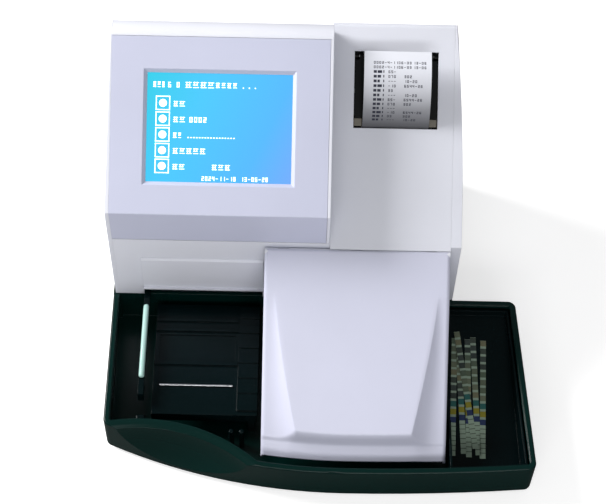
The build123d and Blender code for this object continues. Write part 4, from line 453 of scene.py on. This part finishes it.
def printed_rows(bm):
    """Short rows of ticks and figures, lying on the paper's curve."""
    ux, uy, radius = circle_through(PAPER_LOW, PAPER_TURN, PAPER_TOP)
    start = math.atan2(PAPER_LOW[1] - uy, PAPER_LOW[0] - ux)
    end = math.atan2(PAPER_TOP[1] - uy, PAPER_TOP[0] - ux)
    skin = radius + PAPER_T + INK_LIFT
    span = (end - start) * skin

    def bar(x0, x1, s0, s1):
        corners = []
        for x, s in ((x0, s0), (x1, s0), (x1, s1), (x0, s1)):
            angle = start + s / skin * (1 if span > 0 else -1)
            point = Vector((POCKET_X + x, ux + skin * math.cos(angle), uy + skin * math.sin(angle)))
            corners.append(bm.verts.new(ON_PRINTER @ (point * MM)))
        bm.faces.new(corners)

    def figures(x, s, text):
        digits(bar, x, s, PRINT_DIGIT_W, ROW_H, PRINT_PEN, text)

    length = abs(span)
    for i in range(ROWS):
        s = length * (ROW_LOW + (ROW_HIGH - ROW_LOW) * i / (ROWS - 1))
        if i >= ROWS - 2:
            figures(PRINT_LEFT, s, "0002-4-1106-33")
            figures(PRINT_TIME, s, "13-06")
            continue
        bar(PRINT_LEFT, PRINT_LEFT + MARK_W, s, s + ROW_H)
        bar(PRINT_NAME, PRINT_NAME + NAME_W + (i % 3) * NAME_STEP, s, s + ROW_H)
        bar(PRINT_TICK, PRINT_TICK + TICK_W, s + TICK_UP, s + ROW_H)
        figures(PRINT_RESULT, s, RESULTS[i % len(RESULTS)])
        if i % 4 != 3:
            figures(PRINT_VALUE, s, VALUES[i % len(VALUES)])


piece("printed_rows", printed_rows, "door",
      [moulded("print_ink", (40, 42, 60), 0.6, grain=900.0, grain_depth=0.00002, mottle=0.05, edge=0.0)])


DOOR_HALF_W, SHADE_PLATE_INNER = 35.3, 28.9
SHADE_PLATE_LOW, SHADE_PLATE_HIGH = 103.0, 109.3
SHADE_PLATE_DEPTH, SHADE_PLATE_T = 2.5, 0.3


def painted_shade_plates(bm):
    """Two thin beige plates at the door's foot, beside the paper: painted shade standing in for the
    pocket's white lower wall in shade.
    """
    for x0, x1 in ((-DOOR_HALF_W, -SHADE_PLATE_INNER), (SHADE_PLATE_INNER, DOOR_HALF_W)):
        add_box(bm, POCKET_X + x0, POCKET_X + x1, SHADE_PLATE_LOW, SHADE_PLATE_HIGH, -SHADE_PLATE_DEPTH, -SHADE_PLATE_DEPTH + SHADE_PLATE_T,
                ON_PRINTER)


# Painted shade: beige plates where the pocket's white lower wall lies in shade.
piece("painted_shade_plates", painted_shade_plates, "door", [MATERIALS["beige"]])


# ------------------------------------------------------------ front cover
def front_line_y(x, back):
    """Front line of the tray, two arcs that meet at the kink, moved back."""
    radius = LEFT_R if x < KINK_X else RIGHT_R
    return Y_FRONT + radius - math.sqrt((radius - back) ** 2 - (x - KINK_X) ** 2)


EDGE_BACK = 18.5
EDGE_Y = Y_FRONT + EDGE_BACK
EDGE_Z = 31.0
LIP_Y, LIP_Z = Y_FRONT + 29.5, 42.0
DIP, DIP_L = 10.0, 122.0            # depth of the flanks at their foot, and their length
DIP_CURVE, DIP_GROWTH = 3.4, 0.9
APEX_IN, FOOT_IN_L, FOOT_IN_R = 10.0, 30.2, 31.2
EDGE_SWEEP, SHARE_MAX = 1.35, 1.12
ARC_START, ARC_REACH = 90.0, 70.0   # down the slope, where the front's arc starts and ends to act
FRONT_REACH = 6.0                   # the roll starts this far behind the bend
FOOT_BLEND, LIP_BLEND = 6.0, 2.5
CREASE = 0.25                       # half the width of the flanks' inner edges
SIDE_R = 3.2
SKIRT_Z, SKIRT_DROP = 56.0, 14.0
SKIRT_FRONT, SKIRT_RAMP = 6.0, 22.0
SKIRT_MIN = 0.3
ROLL_STEPS, FLANK_STEPS, MIDDLE_STEPS = 6, 20, 40
FINE_START, SLOPE_STEPS, FRONT_STEPS = 8.0, 70, 34
LUG_CLEAR = 0.3


def blend_min(a, b, reach):
    """Lower of two heights, rounded where they come within reach of each other."""
    near = max(reach - abs(a - b), 0.0) / reach
    return min(a, b) - near * near * reach / 4


def flank_share(y):
    """How far down the flanks this y lies, 0 at their upper ends."""
    along = (Y_WALL - y) / math.cos(COVER_SLOPE)
    return min(max((along - (BEND_L - DIP_L)) / DIP_L, 0.0), SHARE_MAX)


def flank_edge(foot, share):
    """Distance of a flank's inner edge from the cover's side."""
    return APEX_IN + (foot - APEX_IN) * share ** EDGE_SWEEP


def cover_height(x, y):
    """Top of the cover: raised middle, two hollows beside it, and the front roll."""
    plane = COVER_Z + (y - Y_WALL) * math.tan(COVER_SLOPE)
    along = (Y_WALL - y) / math.cos(COVER_SLOPE)
    share = flank_share(y)
    dip = 0.0
    for near, foot in ((x - COVER_LEFT, FOOT_IN_L), (COVER_RIGHT - x, FOOT_IN_R)):
        edge = flank_edge(foot, share)
        outwards = min(max((edge - near) / edge, 0.0), 1.0)
        dip = max(dip, DIP * share ** DIP_GROWTH * (1 - (1 - outwards) ** DIP_CURVE))
    body = plane - dip / math.cos(COVER_SLOPE)
    shift = front_line_y(x, EDGE_BACK) - EDGE_Y
    fade = min(max((along - ARC_START) / ARC_REACH, 0.0), 1.0)
    yy = y - shift * fade
    if yy >= BEND_Y + FRONT_REACH:
        return body
    low = EDGE_Z + (yy - EDGE_Y) * (LIP_Z - EDGE_Z) / (LIP_Y - EDGE_Y)
    bend_z = COVER_Z + (BEND_Y - Y_WALL) * math.tan(COVER_SLOPE)
    high = LIP_Z + (yy - LIP_Y) * (bend_z - LIP_Z) / (BEND_Y - LIP_Y)
    front = -blend_min(-low, -high, LIP_BLEND)
    return blend_min(body, front, FOOT_BLEND)


def skirt_bottom(y):
    """Lower edge of the cover's sides: level, then a ramp, then down to the front edge."""
    ahead = y - BEND_Y - SKIRT_FRONT
    if ahead > SKIRT_RAMP:
        return SKIRT_Z
    if ahead > 0:
        return SKIRT_Z - SKIRT_DROP + ahead / SKIRT_RAMP * SKIRT_DROP
    return EDGE_Z


def front_cover_form(bm):
    """Height grid over the cover's plan, with rolled side edges and skirts."""
    inner_l, inner_r = COVER_LEFT + SIDE_R, COVER_RIGHT - SIDE_R
    turns = [math.pi / 2 * i / ROLL_STEPS for i in range(ROLL_STEPS)]
    roll = [(SIDE_R * (1 - math.cos(turn)), SIDE_R * (1 - math.sin(turn))) for turn in turns]

    def columns_at(y):
        """Places across the cover, with a close pair at each flank's inner edge."""
        share = flank_share(y)
        left = COVER_LEFT + flank_edge(FOOT_IN_L, share)
        right = COVER_RIGHT - flank_edge(FOOT_IN_R, share)
        places = [(COVER_LEFT + across, drop) for across, drop in roll]
        for x0, x1, count in ((inner_l, left - CREASE, FLANK_STEPS),
                              (left + CREASE, right - CREASE, MIDDLE_STEPS),
                              (right + CREASE, inner_r, FLANK_STEPS)):
            places += [(x0 + (x1 - x0) * i / count, 0.0) for i in range(count + 1)]
        return places + [(COVER_RIGHT - across, drop) for across, drop in reversed(roll)]

    fine_y = BEND_Y + FINE_START
    stations = [HINGE_Y + (fine_y - HINGE_Y) * i / SLOPE_STEPS for i in range(SLOPE_STEPS + 1)]
    stations += [fine_y + (EDGE_Y - fine_y) * i / FRONT_STEPS for i in range(1, FRONT_STEPS + 1)]
    rows = []
    for y in stations:
        row = []
        for x, drop in columns_at(y):
            shift = front_line_y(x, EDGE_BACK) - EDGE_Y
            fade = min(max((HINGE_Y - y) / (HINGE_Y - EDGE_Y), 0.0), 1.0) ** 3
            yy = y + shift * fade
            row.append((x, yy, cover_height(x, yy) - drop))
        feet = [(x, yy, min(skirt_bottom(y), z - SKIRT_MIN)) for x, yy, z in (row[0], row[-1])]
        rows.append([bm.verts.new(Vector(p) * MM) for p in [feet[0]] + row + [feet[1]]])
    for a, b in zip(rows, rows[1:]):
        for i in range(len(a) - 1):
            bm.faces.new((a[i], b[i], b[i + 1], a[i + 1]))


cover = piece("front_cover_form", front_cover_form, "cover", [MATERIALS["cover_grey"]],
              smooth=True)
shell = cover.modifiers.new("wall", "SOLIDIFY")
shell.thickness = COVER_WALL * MM
shell.offset = -1.0
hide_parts("front_cover")


def cover_barrel_form(bm):
    """Hinge barrel under the cover's upper edge, open at the three lugs."""
    ends = [COVER_LEFT]
    for x in LUGS:
        ends += [x - LUG_CLEAR, x + LUG_W + LUG_CLEAR]
    ends.append(COVER_RIGHT)
    for x0, x1 in zip(ends[::2], ends[1::2]):
        middle = Vector(((x0 + x1) / 2, HINGE_Y, HINGE_Z)) * MM
        place = Matrix.Translation(middle) @ Matrix.Rotation(math.pi / 2, 4, "Y")
        bmesh.ops.create_cone(bm, cap_ends=True, segments=32, radius1=BARREL_R * MM, radius2=BARREL_R * MM,
                              depth=(x1 - x0) * MM, matrix=place)


piece("cover_barrel", cover_barrel_form, "cover", [MATERIALS["shell_white"]])


# ------------------------------------------------------------ spent strips
STRIP_PLACES = ((5.0, 0.0, -2.0, 0), (11.5, 2.0, 1.6, 0), (18.0, -1.0, -0.6, 0),
                (24.6, 1.0, 1.2, 0), (31.0, -2.0, -1.8, 0), (16.0, 6.0, 7.5, 1))
BIN_FRONT_Z, BIN_BACK_Z = 10.0, 35.0
STRIP_MID, STRIP_LAYER = 88.0, 0.9      # strips' middle behind the tray's front, and one layer's height
STRIP_HALF_W, STRIP_HALF_L, STRIP_T = 2.5, 55.0, 0.3
BAND_FIRST, BAND_PITCH, BAND_TOP = 52.0, 7.4, 0.8
RULE_COUNT, RULE_FIRST, RULE_PITCH, RULE_HALF_W, RULE_TOP = 6, -28.0, 4.4, 0.35, 0.34
MIXED_TONES = 8                         # the tones after these keep their order on every strip
PAD_TONES = ((74, 88, 72), (96, 104, 84), (52, 62, 58), (84, 94, 76), (104, 104, 80), (44, 54, 50),
             (78, 90, 72), (56, 66, 58), (30, 88, 84), (128, 122, 30), (26, 44, 84))


def spent_strips(bm):
    """Used strips in the bin, each with its coloured bands and the handle's rules."""
    rise = (BIN_BACK_Z - BIN_FRONT_Z) / (Y_WALL - Y_FRONT)
    tones = len(PAD_TONES)
    for row, (x, y, turn, layer) in enumerate(STRIP_PLACES):
        mid_y = Y_FRONT + STRIP_MID + y
        lift = BIN_FRONT_Z + rise * (mid_y - Y_FRONT) + layer * STRIP_LAYER
        place = (Matrix.Translation(Vector((BIN_X0 + BIN_WALL + x, mid_y, lift)) * MM)
                 @ Matrix.Rotation(math.atan(rise), 4, "X") @ Matrix.Rotation(math.radians(turn), 4, "Z"))

        def across(middle, half, z0, z1, index):
            add_box(bm, -STRIP_HALF_W, STRIP_HALF_W, middle - half, middle + half, z0, z1, place, index)

        across(0.0, STRIP_HALF_L, 0.0, STRIP_T, 0)
        for i in range(tones):
            tone = 1 + (i if i >= MIXED_TONES else (i * 3 + row * 5) % MIXED_TONES)
            across(BAND_FIRST - i * BAND_PITCH, STRIP_HALF_W, STRIP_T, BAND_TOP, tone)
        for i in range(RULE_COUNT):
            across(RULE_FIRST - i * RULE_PITCH, RULE_HALF_W, STRIP_T, RULE_TOP, tones + 1)


pads = [moulded(f"pad_{i}", tone, 0.7, grain=2500.0, grain_depth=0.0001, mottle=0.08, edge=0.0)
        for i, tone in enumerate(PAD_TONES)]
rules = moulded("strip_rule", (70, 82, 72), 0.6, grain=900.0, grain_depth=0.00002, mottle=0.05, edge=0.0)
strips = piece("spent_strips", spent_strips, "bin", [MATERIALS["strip_paper"], *pads, rules])
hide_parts("used_strips")


# ------------------------------------------------------------ floor, light and camera
FLOOR_HALF = 6.0
FLOOR_GLOW = 0.58
REFLECTED_FLOOR = 0.12
FILL = 0.26
REFLECTED_SKY = 0.16


def white_surround():
    """Pale floor that reads as white to the camera, keeps shadows and is darker in reflections."""
    material, tree, shader = node_tree("floor_white")
    place = add(tree, "ShaderNodeTexCoord")
    noise = add(tree, "ShaderNodeTexNoise", Scale=4.0, Detail=2.0)
    tree.links.new(place.outputs["Object"], noise.inputs["Vector"])
    shades = [(at, (level, level, level, 1.0)) for at, level in ((0.3, 0.80), (0.7, 0.83))]
    tone = ramp(tree, noise.outputs["Fac"], shades)
    shader.inputs["Roughness"].default_value = 0.9
    shader.inputs["Specular IOR Level"].default_value = 0.0
    path = add(tree, "ShaderNodeLightPath")
    seen = add(tree, "ShaderNodeMath", operation="MAXIMUM")
    tree.links.new(path.outputs["Is Camera Ray"], seen.inputs[0])
    tree.links.new(path.outputs["Is Transmission Ray"], seen.inputs[1])
    glow = add(tree, "ShaderNodeMath", operation="MULTIPLY")
    glow.inputs[1].default_value = FLOOR_GLOW
    tree.links.new(seen.outputs["Value"], glow.inputs[0])
    shade = add(tree, "ShaderNodeMix", data_type="RGBA")
    tree.links.new(path.outputs["Is Glossy Ray"], shade.inputs["Factor"])
    tree.links.new(tone.outputs["Color"], shade.inputs[6])
    shade.inputs[7].default_value = (REFLECTED_FLOOR, REFLECTED_FLOOR, REFLECTED_FLOOR, 1.0)
    tree.links.new(shade.outputs[2], shader.inputs["Base Color"])
    shader.inputs["Emission Color"].default_value = (1.0, 1.0, 1.0, 1.0)
    tree.links.new(glow.outputs["Value"], shader.inputs["Emission Strength"])
    return material


floor_mesh = bpy.data.meshes.new("floor")
floor_bm = bmesh.new()
bmesh.ops.create_grid(floor_bm, x_segments=2, y_segments=2, size=FLOOR_HALF)
floor_bm.to_mesh(floor_mesh)
floor_bm.free()
floor_mesh.materials.append(white_surround())
floor = bpy.data.objects.new("floor", floor_mesh)
bpy.context.scene.collection.objects.link(floor)

world = bpy.data.worlds.new("studio")
world.use_nodes = True
bpy.context.scene.world = world
sky = world.node_tree
background = sky.nodes["Background"]
rays = add(sky, "ShaderNodeLightPath")
seen = add(sky, "ShaderNodeMath", operation="MAXIMUM")
sky.links.new(rays.outputs["Is Camera Ray"], seen.inputs[0])
sky.links.new(rays.outputs["Is Transmission Ray"], seen.inputs[1])
level = add(sky, "ShaderNodeMapRange")
dim = add(sky, "ShaderNodeMapRange")
for node, low, high in ((level, FILL, 1.0), (dim, 1.0, REFLECTED_SKY / FILL)):
    node.inputs["To Min"].default_value = low
    node.inputs["To Max"].default_value = high
sky.links.new(seen.outputs["Value"], level.inputs["Value"])
sky.links.new(rays.outputs["Is Glossy Ray"], dim.inputs["Value"])
total = add(sky, "ShaderNodeMath", operation="MULTIPLY")
sky.links.new(level.outputs["Result"], total.inputs[0])
sky.links.new(dim.outputs["Result"], total.inputs[1])
sky.links.new(total.outputs["Value"], background.inputs["Strength"])
background.inputs["Color"].default_value = (1.0, 1.0, 1.0, 1.0)


def soft_light(name, place, size, power, colour):
    """Rectangular lamp that looks at the part's middle."""
    data = bpy.data.lights.new(name, "AREA")
    data.shape = "RECTANGLE"
    data.size, data.size_y = size
    data.energy = power
    data.color = colour
    lamp = bpy.data.objects.new(name, data)
    lamp.location = place
    lamp.rotation_euler = (Vector(PART_MIDDLE) - Vector(place)).to_track_quat("-Z", "Y").to_euler()
    bpy.context.scene.collection.objects.link(lamp)


PART_MIDDLE = (0.0, 0.0, 0.08)
soft_light("key", (-1.4, 0.45, 1.2), (0.7, 0.7), 43.0, (1.0, 0.99, 0.98))
soft_light("top", (0.2, -1.0, 2.0), (0.8, 0.8), 2.5, (0.96, 0.98, 1.0))
soft_light("front", (0.0, -1.7, 1.1), (1.6, 0.4), 12.5, (1.0, 1.0, 1.0))

VIEW_TILT = math.radians(58.0)
VIEW_ROLL = 0.021
VIEW_PLACE = Vector((-0.028, -0.7736, 1.3664))
FOCAL_PX, IMAGE_W, PRINCIPAL_X = 1700.0, 606.0, 290.0
SENSOR_W = 36.0
camera_data = bpy.data.cameras.new("camera")
camera_data.sensor_fit = "HORIZONTAL"
camera_data.sensor_width = SENSOR_W
camera_data.lens = FOCAL_PX / IMAGE_W * SENSOR_W
camera_data.shift_x = (IMAGE_W / 2 - PRINCIPAL_X) / IMAGE_W
camera_data.clip_end = 50.0
camera = bpy.data.objects.new("camera", camera_data)
ahead = Vector((0.0, math.cos(VIEW_TILT), -math.sin(VIEW_TILT)))
up = Vector((0.0, math.sin(VIEW_TILT), math.cos(VIEW_TILT)))
right = Vector((1.0, 0.0, 0.0))
cr, sr = math.cos(VIEW_ROLL), math.sin(VIEW_ROLL)
axes = Matrix((right * cr + up * sr, up * cr - right * sr, -ahead)).transposed()
camera.matrix_world = Matrix.Translation(VIEW_PLACE) @ axes.to_4x4()
bpy.context.scene.collection.objects.link(camera)
bpy.context.scene.camera = camera
bpy.context.scene.view_settings.view_transform = "Standard"
